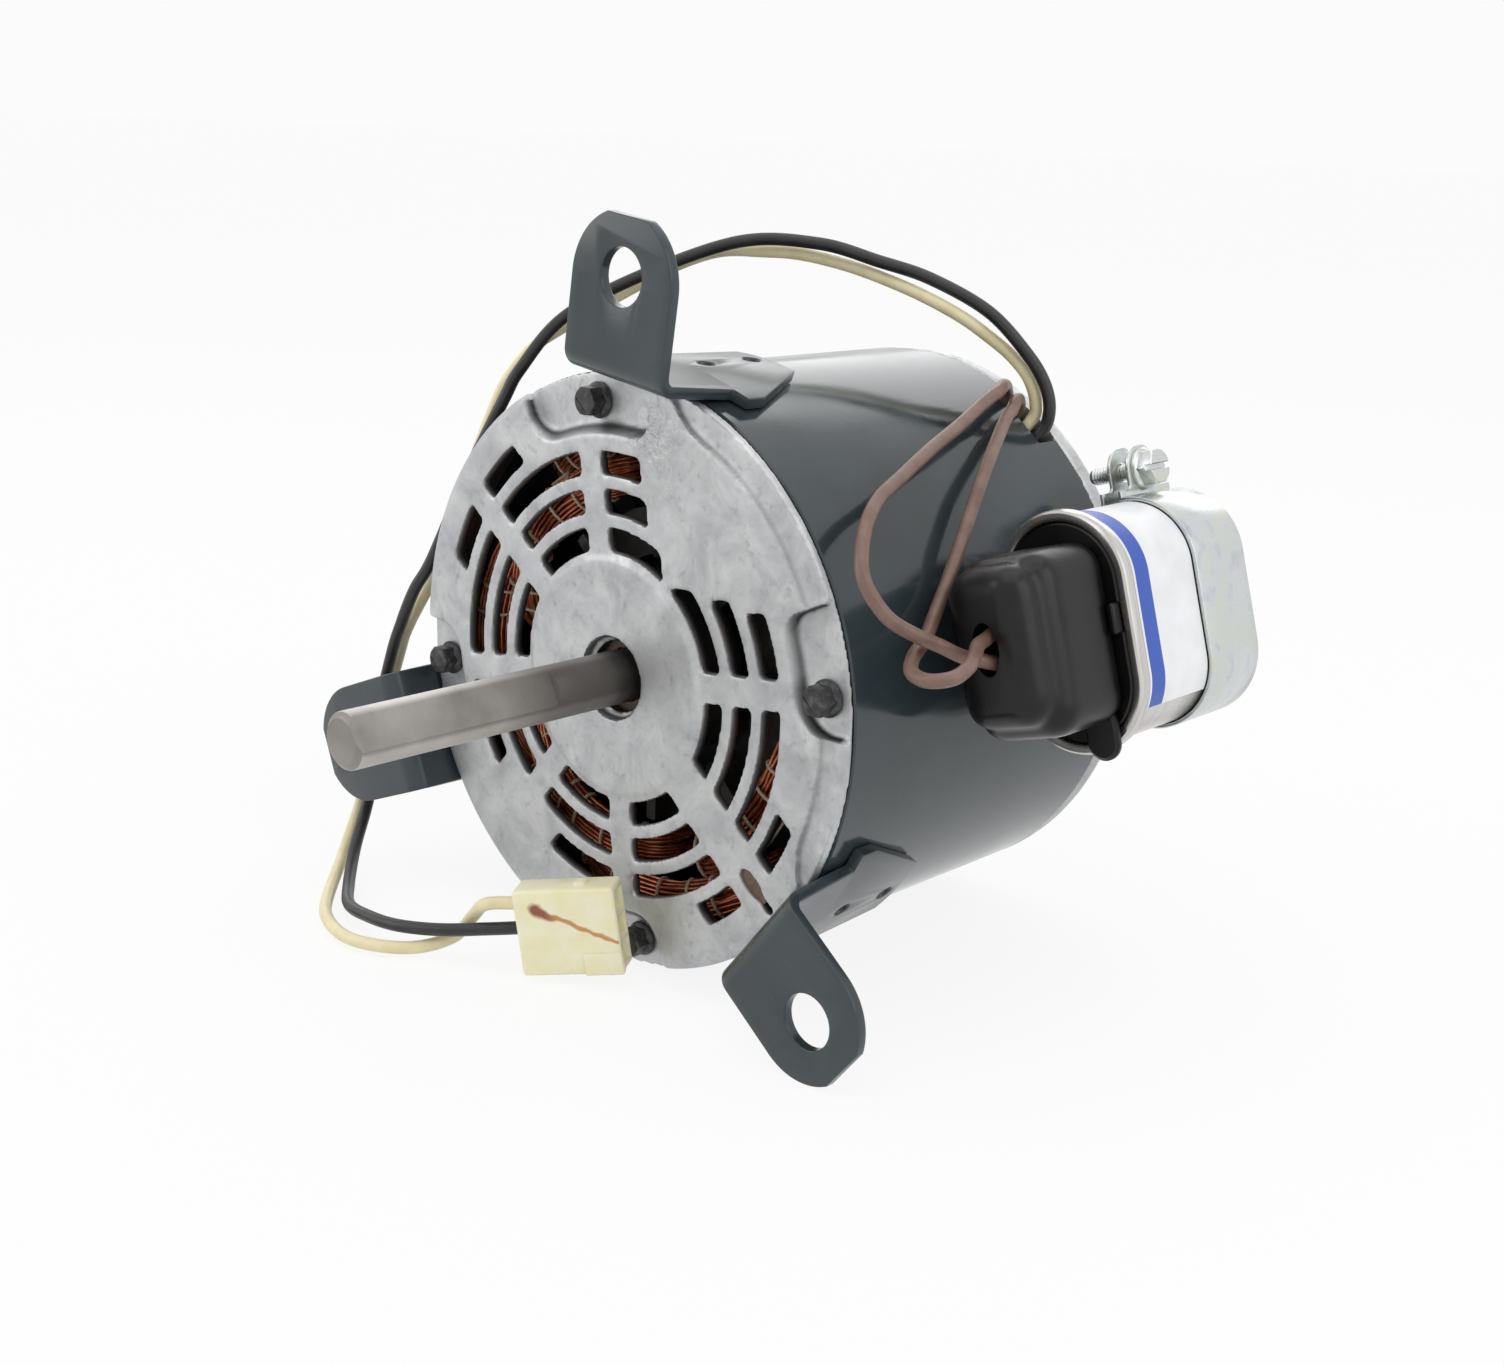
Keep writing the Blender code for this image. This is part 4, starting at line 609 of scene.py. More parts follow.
for height, strength, depth in ((grain, 0.2, 0.1), (flow, 0.15, 0.4)):
    relief = add_node(casting, "Bump", {"Height": height, "Strength": strength, "Distance": depth * MM,
                                        "Normal": relief})
set_inputs(shader, {"Base Color": shaded, "Metallic": 0.75, "Roughness": dull, "Normal": relief})
finish_piece(front_shield, "front_shield", casting, "cast_aluminium", "front_end_shield")

# Pressboard, varnished: dull mid brown. A sliver of the winding's insulation shows in the slit.
BOARD_FIBRE = 1.5 * MM
SLIVER_OUTLINE = ((54.4, 0.0), (57.3, 2.4), (61.6, 2.5), (64.9, 1.4), (65.2, 0.0))
SLIVER_ENDS = (76.9, 79.5)

pressboard = mottled("pressboard", BOARD_FIBRE, 4.0, ((0.3, "5b4438"), (0.7, "765d4e")), {"Roughness": 0.6})
sliver = knife_block(SLIVER_OUTLINE, SLIVER_ENDS)
finish_piece(sliver, "insulation_sliver", pressboard, "phenolic")

# Rear end shield
# The matching die-cast frame at the back: one ring of slots, a closed hub for the rear bearing and a plain
# rounded rim. Its spigot has a gap where the leads pass.
REAR_FACE = 188.4
REAR_WEB_FRONT = 184.4
REAR_RIM_FRONT = 182.2
REAR_SPIGOT_END = 174.2
REAR_HUB_FRONT = 167.4
REAR_BOSS_RADIUS = 24.0
REAR_BOSS_HEIGHT = 2.4
REAR_BOSS_SLOPE = 1.2
REAR_SLOT_RING = 1
REAR_VOXEL = 0.75
GAP_RADII = (65.0, 69.35)
GAP_PAST = 2.0

rear_profile = [(HOUSING_RADIUS, REAR_WEB_FRONT), (HOUSING_RADIUS, REAR_HUB_FRONT)]
rear_profile += [(HUB_RADIUS, REAR_HUB_FRONT), (HUB_RADIUS, REAR_WEB_FRONT)]
rear_profile += [(SPIGOT_INNER, REAR_WEB_FRONT), (SPIGOT_INNER, REAR_SPIGOT_END)]
rear_profile += [(SPIGOT_RADIUS, REAR_SPIGOT_END), (SPIGOT_RADIUS, REAR_RIM_FRONT)]
rear_profile += [(SHELL_RADIUS, REAR_RIM_FRONT)] + rim_round(REAR_FACE, -1)[::-1]
rear_profile += [(REAR_BOSS_RADIUS + REAR_BOSS_SLOPE, REAR_FACE)]
rear_profile += [(REAR_BOSS_RADIUS, REAR_FACE + REAR_BOSS_HEIGHT)]
rear_shield = drawn(rear_profile, ROUND_SEGMENTS, closed=False)
rear_slots = [slot_cutter(REAR_SLOT_RING, (rib, half), (rib + 1, -half)) for rib in range(8)]
cut(rear_shield, shift(join(rear_slots), 0, REAR_FACE - WEB_BACK, 0))
cut(rear_shield, bolt_cutters((REAR_SPIGOT_END - CUT_PAST, REAR_FACE + CUT_PAST)))
cut(rear_shield, arc_block(GAP_RADII, NOTCH_ANGLES, (REAR_SPIGOT_END - GAP_PAST, REAR_RIM_FRONT)))
soften_casting(rear_shield, REAR_VOXEL)
finish_piece(rear_shield, "rear_shield", casting, "cast_aluminium", "rear_end_shield")

# Through bolts and nuts
# Four long black-oxide steel bolts with flanged hexagon heads hold the two shields together. Plain hexagon
# nuts close them at the back, where the threaded tails stand out.
BOLT_SEAT = 78.9
BOLT_FLANGE_RADIUS = 4.25
BOLT_FLANGE_HEIGHT = 1.2
BOLT_HEX = 6.35
BOLT_HEAD_HEIGHT = 3.6
SHANK_RADIUS = 2.08
SHANK_PLAIN_END = 178.4
THREAD_PITCH = 0.8
THREAD_DEPTH = 0.3
THREAD_TIP = (0.4, 0.5)
BOLT_END = 196.4
NUT_HEX = 8.7
NUT_FRONT = 188.7
NUT_HEIGHT = 3.2
NUT_PLAY = 0.1
HEAD_SINK = 0.2  # how far a head and its shank reach into the flange between them


def round_edges(piece, width, segments=3, angle=38):
    """Small rounds on every edge that is sharper than an angle."""
    modify(piece, "BEVEL", width=width * MM, segments=segments, limit_method="ANGLE",
           angle_limit=math.radians(angle), use_clamp_overlap=False)


def hexagon(across_flats, ends, both_turned=False):
    """A hexagon bar along the shaft, with its corners turned off at the first end or at both."""
    corner = across_flats / math.sqrt(3)
    bar = drawn([(corner, ends[0]), (corner, ends[1])], 6, closed=False)
    chamfer = (corner - across_flats / 2) * 0.9
    flat = across_flats / 2 * 0.96
    outside = corner + 0.01
    profile = [(flat, ends[0]), (outside, ends[0] + chamfer)]
    profile += [(outside, ends[1] - chamfer), (flat, ends[1])] if both_turned else [(outside, ends[1])]
    cut(bar, drawn(profile, 48, closed=False), "INTERSECT")
    return bar


def threaded(ends, radius, plain_until):
    """A round bar with a plain part and then rows of thread."""
    profile = [(radius, ends[0]), (radius, plain_until)]
    place = plain_until
    tip_length, tip_taper = THREAD_TIP
    while place + THREAD_PITCH < ends[1] - tip_length:
        root = radius - THREAD_DEPTH
        profile += [(root, place + THREAD_PITCH * 0.4), (root, place + THREAD_PITCH * 0.5)]
        profile += [(radius, place + THREAD_PITCH * 0.9), (radius, place + THREAD_PITCH)]
        place += THREAD_PITCH
    return drawn(profile + [(radius - tip_taper, ends[1])], 24, closed=False)


def own_copy(piece):
    """A copy of a piece with its own mesh."""
    copy = piece.copy()
    copy.data = piece.data.copy()
    bpy.context.collection.objects.link(copy)
    return copy


flange_front = BOLT_SEAT - BOLT_FLANGE_HEIGHT
flange_profile = [(BOLT_HEX / 2, flange_front - 0.5), (BOLT_FLANGE_RADIUS - 1.1, flange_front - 0.25)]
flange_profile += [(BOLT_FLANGE_RADIUS - 0.3, flange_front + 0.35), (BOLT_FLANGE_RADIUS, BOLT_SEAT - 0.35)]
flange_profile += [(BOLT_FLANGE_RADIUS - 0.15, BOLT_SEAT), (SHANK_RADIUS, BOLT_SEAT)]
flange = drawn(flange_profile, 48, closed=False)
bolt_head = hexagon(BOLT_HEX, (flange_front - BOLT_HEAD_HEIGHT, flange_front + HEAD_SINK))
round_edges(bolt_head, 0.2, 2, 25)
shank = threaded((BOLT_SEAT - HEAD_SINK, BOLT_END), SHANK_RADIUS, SHANK_PLAIN_END)
bolt = join([bolt_head, flange, shank])
nut_back = NUT_FRONT + NUT_HEIGHT
nut = hexagon(NUT_HEX, (NUT_FRONT, nut_back), both_turned=True)
cut(nut, cylinder(SHANK_RADIUS + NUT_PLAY, (NUT_FRONT - CUT_PAST, nut_back + CUT_PAST)))
round_edges(nut, 0.15, 2, 25)

# Black oxide on steel: nearly black with a brownish cast, an oily satin sheen and lighter worn corners.
OXIDE_PATCH = 1.5 * MM

black_oxide = mottled("black_oxide_steel", OXIDE_PATCH, 5.0,
                      ((0.3, "303033"), (0.55, "434344"), (0.75, "625f5b")),
                      {"Metallic": 0.6, "Roughness": 0.42})
for part, name, node in ((bolt, "hex_bolt", "through_bolt"), (nut, "hex_nut", "through_bolt_nut")):
    for number, angle in enumerate(BOLT_ANGLES, 1):
        x, z = polar(BOLT_CIRCLE, angle)
        piece = shift(own_copy(part), x, 0, z)
        finish_piece(piece, f"{name}_{number}", black_oxide, "black_steel", f"{node}_{number}")
    bpy.data.objects.remove(part)

# Rotor shaft
# A half-inch ground steel shaft with a chamfered end and a long flat milled for the fan's set screw. It turns
# in the two sleeve bearings and carries the rotor.
SHAFT_RADIUS = 6.35
SHAFT_CHAMFER = 1.0
SHAFT_CORE_RADIUS = 8.0
CORE_ENDS = (104.1, 154.1)
SHAFT_END = 184.1
FLAT_DEPTH = 1.4
FLAT_ENDS = (-2.0, 54.0)
FLAT_RUNOUT = 0.5
FLAT_ANGLE = 29.15
MILL_DEPTH = 8.0
MILL_WIDTH = 20.0

chamfer_radius = SHAFT_RADIUS - SHAFT_CHAMFER
shaft_profile = [(chamfer_radius - 0.3, 0.0), (chamfer_radius, 0.25), (SHAFT_RADIUS - 0.1, SHAFT_CHAMFER)]
shaft_profile += [(SHAFT_RADIUS, SHAFT_CHAMFER + 0.25), (SHAFT_RADIUS, CORE_ENDS[0])]
shaft_profile += [(SHAFT_CORE_RADIUS, CORE_ENDS[0]), (SHAFT_CORE_RADIUS, CORE_ENDS[1])]
shaft_profile += [(SHAFT_RADIUS, CORE_ENDS[1]), (SHAFT_RADIUS, SHAFT_END)]
shaft = drawn(shaft_profile, 128, closed=False)

flat_place = SHAFT_RADIUS - FLAT_DEPTH
mill_middle = flat_place + MILL_DEPTH / 2
mill = start_from(bpy.ops.mesh.primitive_cube_add, (MILL_DEPTH, FLAT_ENDS[1] - FLAT_ENDS[0], MILL_WIDTH),
                  size=MM, location=(mill_middle * MM, sum(FLAT_ENDS) / 2 * MM, 0))
pick(mill, "verts", lambda vert: vert.co.y > 0 and vert.co.x > mill_middle * MM)
bpy.ops.transform.translate(value=(0, FLAT_RUNOUT * MILL_DEPTH / FLAT_DEPTH * MM, 0))
bpy.ops.object.mode_set(mode="OBJECT")
cut(shaft, turn(mill, FLAT_ANGLE))

# Ground steel, lightly oiled: grey with a warm cast, fine grinding lines round it and a soft broad sheen. The
# milled flat side and the sawn end are darker than the round, partly a duller finish and partly painted shade
# on the upper side, and painted shade darkens it all towards the hub.
GRINDING_LINE = 0.35 * MM
LINE_STRETCH = 0.05
HANDLING_STAIN = 14 * MM
DULL_AND_SHADED_FROM = 4.0
HUB_SHADE_FROM = 37.8
GROUND_STOPS = ((0.3, "a8a4a0"), (0.5, "b6b2ae"), (0.72, "c4c0bc"))
MILLED_AND_SHADED_STOPS = ((0.3, "7d7975"), (0.5, "8f8b86"), (0.72, "9f9b96"))

steel, shader = new_material("ground_steel")
place = add_node(steel, "TexCoord").outputs["Object"]
along = add_node(steel, "Mapping", {"Vector": place, "Scale": (LINE_STRETCH, 1.0, LINE_STRETCH)})
lines = add_node(steel, "TexNoise", {"Vector": along, "Scale": 1 / GRINDING_LINE, "Detail": 4.0})
stains = add_node(steel, "TexNoise", {"Vector": place, "Scale": 1 / HANDLING_STAIN, "Detail": 4.0})
ground = add_node(steel, "ValToRGB", {"Fac": stains}, GROUND_STOPS)
# The milled colour is darker than the ground one: partly a duller milled finish, partly painted shade on the
# shaft's upper, flat side and on its end.
milled_and_shaded = add_node(steel, "ValToRGB", {"Fac": stains}, MILLED_AND_SHADED_STOPS)
flat_x, flat_z = polar(1.0, FLAT_ANGLE)
out_to_flat = add_node(steel, "VectorMath", {0: place, 1: (flat_x, 0.0, flat_z)}, operation="DOT_PRODUCT")
flat_side = add_node(steel, "MapRange", {"Value": out_to_flat, "From Min": DULL_AND_SHADED_FROM * MM,
                                         "From Max": flat_place * MM})
along_shaft = add_node(steel, "SeparateXYZ", {"Vector": place}).outputs["Y"]
on_end = add_node(steel, "Math", {0: along_shaft, 1: SHAFT_CHAMFER * MM}, operation="LESS_THAN")
dull = add_node(steel, "Math", {0: flat_side, 1: on_end}, operation="MAXIMUM")
flat_side_shaded = add_node(steel, "Mix", {SHARE: dull, UNDER: ground, OVER: milled_and_shaded}, data_type="RGBA")
# Painted shade: towards the hub the shaft is mixed towards a dark grey, for the hub's shadow and its dark
# reflection.
hub_shade_share = add_node(steel, "MapRange", {"Value": along_shaft, "From Min": HUB_SHADE_FROM * MM, "From Max": FACE * MM,
                                      "To Max": 0.85})
hub_shaded = add_node(steel, "Mix", {SHARE: hub_shade_share, UNDER: flat_side_shaded, OVER: colour("504c49")}, data_type="RGBA")
worn = add_node(steel, "MapRange", {"Value": lines, "From Min": MOST_TONES[0], "From Max": MOST_TONES[1],
                                    "To Min": 0.4, "To Max": 0.52})
bump = add_node(steel, "Bump", {"Height": lines, "Strength": 0.12, "Distance": 0.05 * MM})
set_inputs(shader, {"Base Color": hub_shaded, "Metallic": 0.85, "Roughness": worn, "Normal": bump})
finish_piece(shaft, "shaft", steel, "ground_steel", "rotor_shaft", body="rotor")

# Mounting lugs
# Three legs bent from 2.7 mm steel sheet: an upright ear with a bolt hole, and a winged foot that follows the
# shell and is fixed to it by two plug welds. They are painted with the shell.
LUG_ANGLES = {"top": 82.5, "left": 202.5, "right": -37.5}
LUG_SHEET = 2.7
EAR_FRONT = 64.5
EAR_HALF_WIDTH = 15.5
EAR_CENTRE = 93.0
EAR_TOP = 107.2
LUG_HOLE_PLACE = 94.3
LUG_HOLE_RADIUS = 6.35
LUG_HOLE_ENDS = (60.5, 72.5)
FOOT_RADIUS = 71.3
BEND_RADIUS = 4.7
WING_ROWS = ((87.0, 15.5), (88.0, 19.5), (93.0, 19.5), (114.0, 9.0))
FOOT_FOLLOWS_FROM = 69.2
WELD_PLACES = (94.0, 109.0)
WELD_RADIUS = 2.2
WELD_DEPTH = 1.3
WELD_PAST = 2.0
LUG_EDGE = 0.35

lug = start_from(bpy.ops.mesh.primitive_circle_add, vertices=96, radius=EAR_HALF_WIDTH * MM, fill_type="NGON",
                 location=(EAR_CENTRE * MM, EAR_FRONT * MM, 0), rotation=(math.pi / 2, 0, 0))
for height, side in ((EAR_CENTRE, -1), (EAR_TOP, 1)):
    bpy.ops.mesh.select_all(action="SELECT")
    bpy.ops.mesh.bisect(plane_co=(height * MM, 0, 0), plane_no=(side, 0, 0), clear_outer=True)
bend_start = FOOT_RADIUS + BEND_RADIUS
bend_back = EAR_FRONT + BEND_RADIUS
pick(lug, "edges", lambda edge: all(abs(vert.co.x - EAR_CENTRE * MM) < 1e-6 for vert in edge.verts))
bpy.ops.mesh.subdivide(number_cuts=11)
bpy.ops.mesh.extrude_edges_move(TRANSFORM_OT_translate={"value": ((bend_start - EAR_CENTRE) * MM, 0, 0)})
bpy.ops.mesh.spin(steps=8, angle=math.pi / 2, center=(bend_start * MM, bend_back * MM, 0), axis=(0, 0, 1))
row_place, row_half = bend_back, EAR_HALF_WIDTH
for next_place, next_half in WING_ROWS:
    bpy.ops.mesh.extrude_edges_move(TRANSFORM_OT_translate={"value": (0, (next_place - row_place) * MM, 0)})
    bpy.ops.transform.resize(value=(1, 1, next_half / row_half),
                             center_override=(FOOT_RADIUS * MM, next_place * MM, 0))
    row_place, row_half = next_place, next_half
bpy.ops.mesh.select_all(action="SELECT")
bpy.ops.mesh.remove_doubles(threshold=0.001 * MM)
bpy.ops.mesh.select_all(action="SELECT")
bpy.ops.mesh.normals_make_consistent(inside=False)

# The foot's rows follow the roundness of the shell, fully from the wings on.
follow_length = WING_ROWS[1][0] - FOOT_FOLLOWS_FROM
shape = bmesh.from_edit_mesh(lug.data)
for vert in shape.verts:
    follow = min(max((vert.co.y / MM - FOOT_FOLLOWS_FROM) / follow_length, 0), 1)
    vert.co.x -= follow * (FOOT_RADIUS * MM - math.sqrt((FOOT_RADIUS * MM) ** 2 - vert.co.z ** 2))
bmesh.update_edit_mesh(lug.data)
bpy.ops.object.mode_set(mode="OBJECT")
modify(lug, "SOLIDIFY", thickness=LUG_SHEET * MM, offset=1, use_even_offset=True)

cut(lug, shift(cylinder(LUG_HOLE_RADIUS, LUG_HOLE_ENDS, 64), LUG_HOLE_PLACE, 0, 0))
weld_profile = [(WELD_RADIUS * 0.5, -WELD_DEPTH), (WELD_RADIUS * 0.85, -WELD_DEPTH * 0.75), (WELD_RADIUS, 0)]
weld_profile += [(WELD_RADIUS * 1.1, WELD_PAST)]
welds = []
for place in WELD_PLACES:
    pit = drawn(weld_profile, 24, closed=False)
    pit.data.transform(Matrix.Rotation(-math.pi / 2, 4, "Z"))
    welds.append(shift(pit, FOOT_RADIUS + LUG_SHEET, place, 0))
cut(lug, join(welds))
round_edges(lug, LUG_EDGE)

satin_enamel = enamel("satin_enamel", 0.22)
for side, angle in LUG_ANGLES.items():
    leg = turn(own_copy(lug), angle)
    finish_piece(leg, f"lug_{side}", satin_enamel, "grey_green_paint", f"mounting_lug_{side}")
bpy.data.objects.remove(lug)

# Stator and windings
# A stack of slotted steel laminations pressed into the shell. Eight coils of enamelled copper wire lie in its
# slots; their end turns fan out at both ends and are laced with cotton cord.
STACK_ENDS = (104.1, 154.1)
COIL_RADII = {"main": (54.52, 59.52), "start": (44.52, 49.52)}
COIL_TURNED = {"main": 8.35, "start": 53.35}
COIL_HALF_SPAN = 37.5
END_TURN_REACH = (17.0, 14.2)
END_TURN_SQUARENESS = 0.6
END_TURN_STEPS = 18
END_TURN_SPREAD = 1.38
WIRE_DIAMETER = 0.9
WIRE_PACKING = 0.97
WIRE_WAVER = 0.22
LACING_ANGLES = (-30, -20, -10, 0, 10, 20, 30)
LACING_DIAMETER = 0.8
LACING_HALF = (5.6, 3.3)
LACING_STEPS = 16


def strand(points, diameter, roundness):
    """A round wire along a line of points, as a curve of one open spline."""
    line = bpy.data.curves.new("strand", "CURVE")
    line.dimensions = "3D"
    line.bevel_depth = diameter / 2 * MM
    line.bevel_resolution = roundness
    line.use_fill_caps = True
    spline = line.splines.new("POLY")
    spline.points.add(len(points) - 1)
    for spline_point, point in zip(spline.points, points):
        spline_point.co = (*point, 1)
    spline.use_smooth = True
    piece = bpy.data.objects.new("strand", line)
    bpy.context.collection.objects.link(piece)
    return piece


def bundle_places():
    """Places of nineteen wires packed in one bundle, from its middle outwards, as distances across it."""
    places = [(0.0, 0.0)]
    for ring in (1, 2):
        for i in range(6 * ring):
            reach = ring if ring == 1 or i % 2 == 0 else ring * math.cos(math.pi / 6)
            angle = 2 * math.pi * i / (6 * ring)
            apart = reach * WIRE_DIAMETER * WIRE_PACKING
            places.append((apart * math.cos(angle), apart * math.sin(angle)))
    return places


def coil_point(angle, radius, place):
    x, z = polar(radius * MM, angle)
    return Vector((x, place * MM, z))


def half_turn(end, radius, deep, wide, direction):
    """One wire from the stack's middle round an end turn and back to the middle."""
    span = COIL_HALF_SPAN + math.degrees(wide / radius)
    reach = (END_TURN_REACH[end] + wide * END_TURN_SPREAD) * (-1 if end == 0 else 1)
    points = [coil_point(-direction * span, radius + deep, sum(STACK_ENDS) / 2)]
    for i in range(END_TURN_STEPS + 1):
        across = math.cos(math.pi * i / END_TURN_STEPS)
        out = math.sin(math.pi * i / END_TURN_STEPS)
        waver = WIRE_WAVER * math.sin(2.4 * i + 9 * deep + 5 * wide) * out
        spread = 1 + (END_TURN_SPREAD - 1) * out
        points.append(coil_point(-direction * span * across, radius + deep * spread + waver,
                                 STACK_ENDS[end] + reach * out ** END_TURN_SQUARENESS + waver))
    return points


def coil_wire(radii):
    """One unbroken wire through every turn of a coil, bundle after bundle."""
    points = []
    for radius in radii:
        for deep, wide in bundle_places():
            points += half_turn(0, radius, deep, wide, 1)
            points += half_turn(1, radius, deep, wide, -1)
    return points


def lacing_cord(radii, number):
    """A cord wound once round both bundles of a coil's front end turn at each lacing place."""
    points = []
    middle = sum(radii) / 2
    half_deep, half_long = LACING_HALF
    for angle in LACING_ANGLES:
        out = math.sqrt(max(1 - (angle / COIL_HALF_SPAN) ** 2, 0))
        centre = STACK_ENDS[0] - END_TURN_REACH[0] * out ** END_TURN_SQUARENESS
        for i in range(LACING_STEPS + 1):
            turned_by = 2 * math.pi * i / LACING_STEPS
            slant = 0.12 * (i - LACING_STEPS / 2) + 2 * math.sin(number + angle)
            points.append(coil_point(angle + slant, middle + half_deep * math.cos(turned_by),
                                     centre + half_long * math.sin(turned_by)))
    return points


# Copper wire under polyester enamel: a red-brown metal with a clear varnish gloss, darker where varnish
# pools. The lacing is cotton soaked in varnish: pale straw, matt, with a fine twist.
VARNISH_POOL = 4 * MM
COTTON_TWIST = 0.6 * MM

enamelled_copper = mottled("enamelled_copper", VARNISH_POOL, 3.0,
                           ((0.3, "a04e30"), (0.52, "cc7349"), (0.75, "e49a6c")),
                           {"Metallic": 0.7, "Roughness": 0.34, "Coat Weight": 0.5, "Coat Roughness": 0.2})
cotton_lacing = mottled("cotton_lacing", COTTON_TWIST, 3.0, ((0.3, "b7a98a"), (0.7, "e6dcc4")),
                        {"Roughness": 0.85}, relief=(0.5, 0.2 * MM))
for kind, radii in COIL_RADII.items():
    wire = coil_wire(radii)
    for number in range(4):
        coil_angle = COIL_TURNED[kind] + 90 * number
        coil = turn(strand(wire, WIRE_DIAMETER, 1), coil_angle)
        fit(coil, f"{kind}_winding_{number + 1}", enamelled_copper)
        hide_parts(f"{kind}_coil_{number + 1}")
        lacing = turn(strand(lacing_cord(radii, number), LACING_DIAMETER, 2), coil_angle)
        fit(lacing, f"{kind}_lacing_{number + 1}", cotton_lacing)

# Silicon steel laminations, blued by annealing: dark grey sheets edge-on. The sheets are 0.5 mm thick and are
# drawn twice that, so that they show.
LAMINATION = 1.0 * MM
WAVE_UNIT = 2 * math.pi / 20  # the wave pattern's scale for bands of one metre


def dress(material, *nodes):
    """Gives carried-over nodes a material."""
    for node in nodes:
        for material_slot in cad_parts[node].material_slots:
            material_slot.material = material


lamination_steel, shader = new_material("lamination_steel")
place = add_node(lamination_steel, "TexCoord").outputs["Object"]
wave = {"Vector": place, "Scale": WAVE_UNIT / LAMINATION, "Distortion": 0.4}
sheets = add_node(lamination_steel, "TexWave", wave, bands_direction="Y").outputs["Fac"]
blued = add_node(lamination_steel, "ValToRGB", {"Fac": sheets}, ((0.2, "2f3034"), (0.8, "55565a")))
bump = add_node(lamination_steel, "Bump", {"Height": sheets, "Strength": 0.4, "Distance": 0.2 * MM})
set_inputs(shader, {"Base Color": blued, "Metallic": 0.7, "Roughness": 0.5, "Normal": bump})
dress(lamination_steel, "stator_core", "rotor_core")

# Rotor cage, bearings and thrust pieces
# The cage and its fan blades are cast aluminium, the sleeve bearings sintered bronze in oil-soaked felt, and
# plated collars with phenolic washers take the end thrust.

# Cage aluminium under dipping varnish: dark grey with a brown film, dull. The dark grey is partly painted
# shade inside the motor.
VARNISH_FILM = 8 * MM

varnished_and_shaded_aluminium = mottled("varnished_and_shaded_aluminium", VARNISH_FILM, 4.0,
                              ((0.3, "2b2927"), (0.6, "454240"), (0.8, "8b8987")),
                              {"Metallic": 0.6, "Roughness": 0.5})
dress(varnished_and_shaded_aluminium, "rotor_cage")

# Sintered bronze: brown gold, dull, with fine dark pores full of oil.
PORE = 0.4 * MM

sintered_bronze, shader = new_material("sintered_bronze")
place = add_node(sintered_bronze, "TexCoord").outputs["Object"]
pores = add_node(sintered_bronze, "TexVoronoi", {"Vector": place, "Scale": 1 / PORE})
bronze = add_node(sintered_bronze, "ValToRGB", {"Fac": pores}, ((0.1, "2e2822"), (0.5, "5c5145")))
set_inputs(shader, {"Base Color": bronze, "Metallic": 0.85, "Roughness": 0.48})
dress(sintered_bronze, "front_bearing_bush", "rear_bearing_bush")

# Wool felt soaked in oil: matt and brown grey, with short fibres.
FIBRE = 0.8 * MM

oiled_felt = mottled("oiled_felt", FIBRE, 8.0, ((0.3, "5f5847"), (0.7, "958b74")), {"Roughness": 0.95},
                     relief=(0.8, 0.4 * MM), Roughness=0.75)
dress(oiled_felt, "front_oil_felt", "rear_oil_felt")

# Zinc plate on steel: bright bluish silver with cloudy passivation in faint green and yellow.
ZINC_CLOUD = 6 * MM
ZINC_STOPS = ((0.3, "bcc2c6"), (0.46, "cdd1d3"), (0.6, "ccd1cb"), (0.72, "d1d1c7"), (0.85, "c5ccce"))

zinc_plate = mottled("zinc_plate", ZINC_CLOUD, 4.0, ZINC_STOPS, {"Metallic": 0.92}, dulling=(0.2, 0.34),
                     Distortion=0.6)
dress(zinc_plate, "front_bearing_retainer", "rear_bearing_retainer")
dress(zinc_plate, "front_thrust_collar", "rear_thrust_collar")

# Phenolic board: nearly black brown, hard, with a dull sheen and a mottled resin skin.
RESIN_MOTTLE = 2 * MM

phenolic_board = mottled("phenolic_board", RESIN_MOTTLE, 4.0, ((0.3, "211b18"), (0.7, "3a2f29")),
                         {"Roughness": 0.45})
dress(phenolic_board, "front_thrust_washer", "rear_thrust_washer")

# Capacitor
# An oval run capacitor in a drawn, plated steel can with a thick rolled seam at its front. A plain white
# paper label with a blue band is wrapped round it. The film roll is inside, and lid and terminals are under
# the boot.
CAPACITOR_ANGLE = 17.3
CAPACITOR_PLACE = (88.1, 0.0, -7.4)
CAN_HALF_WIDTH = 15.6
CAN_STRETCH = 10.8
CAN_FRONT = 134.4
CAN_END = 185.8
OVAL_SEGMENTS = 96
SEAM_LIP = 1.5
SEAM_HEIGHT = 4.2


def on_capacitor(piece):
    """Moves a piece modelled about the shaft's axis to the capacitor's place beside the shell."""
    return turn(shift(piece, *CAPACITOR_PLACE), CAPACITOR_ANGLE)


side = CAN_HALF_WIDTH
lip = CAN_HALF_WIDTH + SEAM_LIP
seam_back = CAN_FRONT + SEAM_HEIGHT
can_profile = [(side - 1.2, CAN_FRONT + 3.2), (side - 1.2, CAN_FRONT + 0.9), (side - 0.9, CAN_FRONT + 0.3)]
can_profile += [(side - 0.3, CAN_FRONT), (lip - 0.7, CAN_FRONT + 0.1), (lip - 0.2, CAN_FRONT + 0.5)]
can_profile += [(lip, CAN_FRONT + 1.2), (lip, seam_back - 1.1), (lip - 0.3, seam_back - 0.4)]
can_profile += [(side + 0.15, seam_back), (side, seam_back + 0.5), (side, CAN_END - 1.8)]
can_profile += [(side - 0.2, CAN_END - 1.0), (side - 0.75, CAN_END - 0.35), (side - 1.6, CAN_END)]
can_profile += [(side - 2.6, CAN_END), (side - 3.4, CAN_END - 0.5)]
can = on_capacitor(drawn(can_profile, OVAL_SEGMENTS, CAN_STRETCH, closed=False))

# Tinplate, drawn and rolled: smooth warm silver with clear reflections and faint drawing marks round the can.
DRAWING_MARK = 0.8 * MM
MARK_STRETCH = 0.06

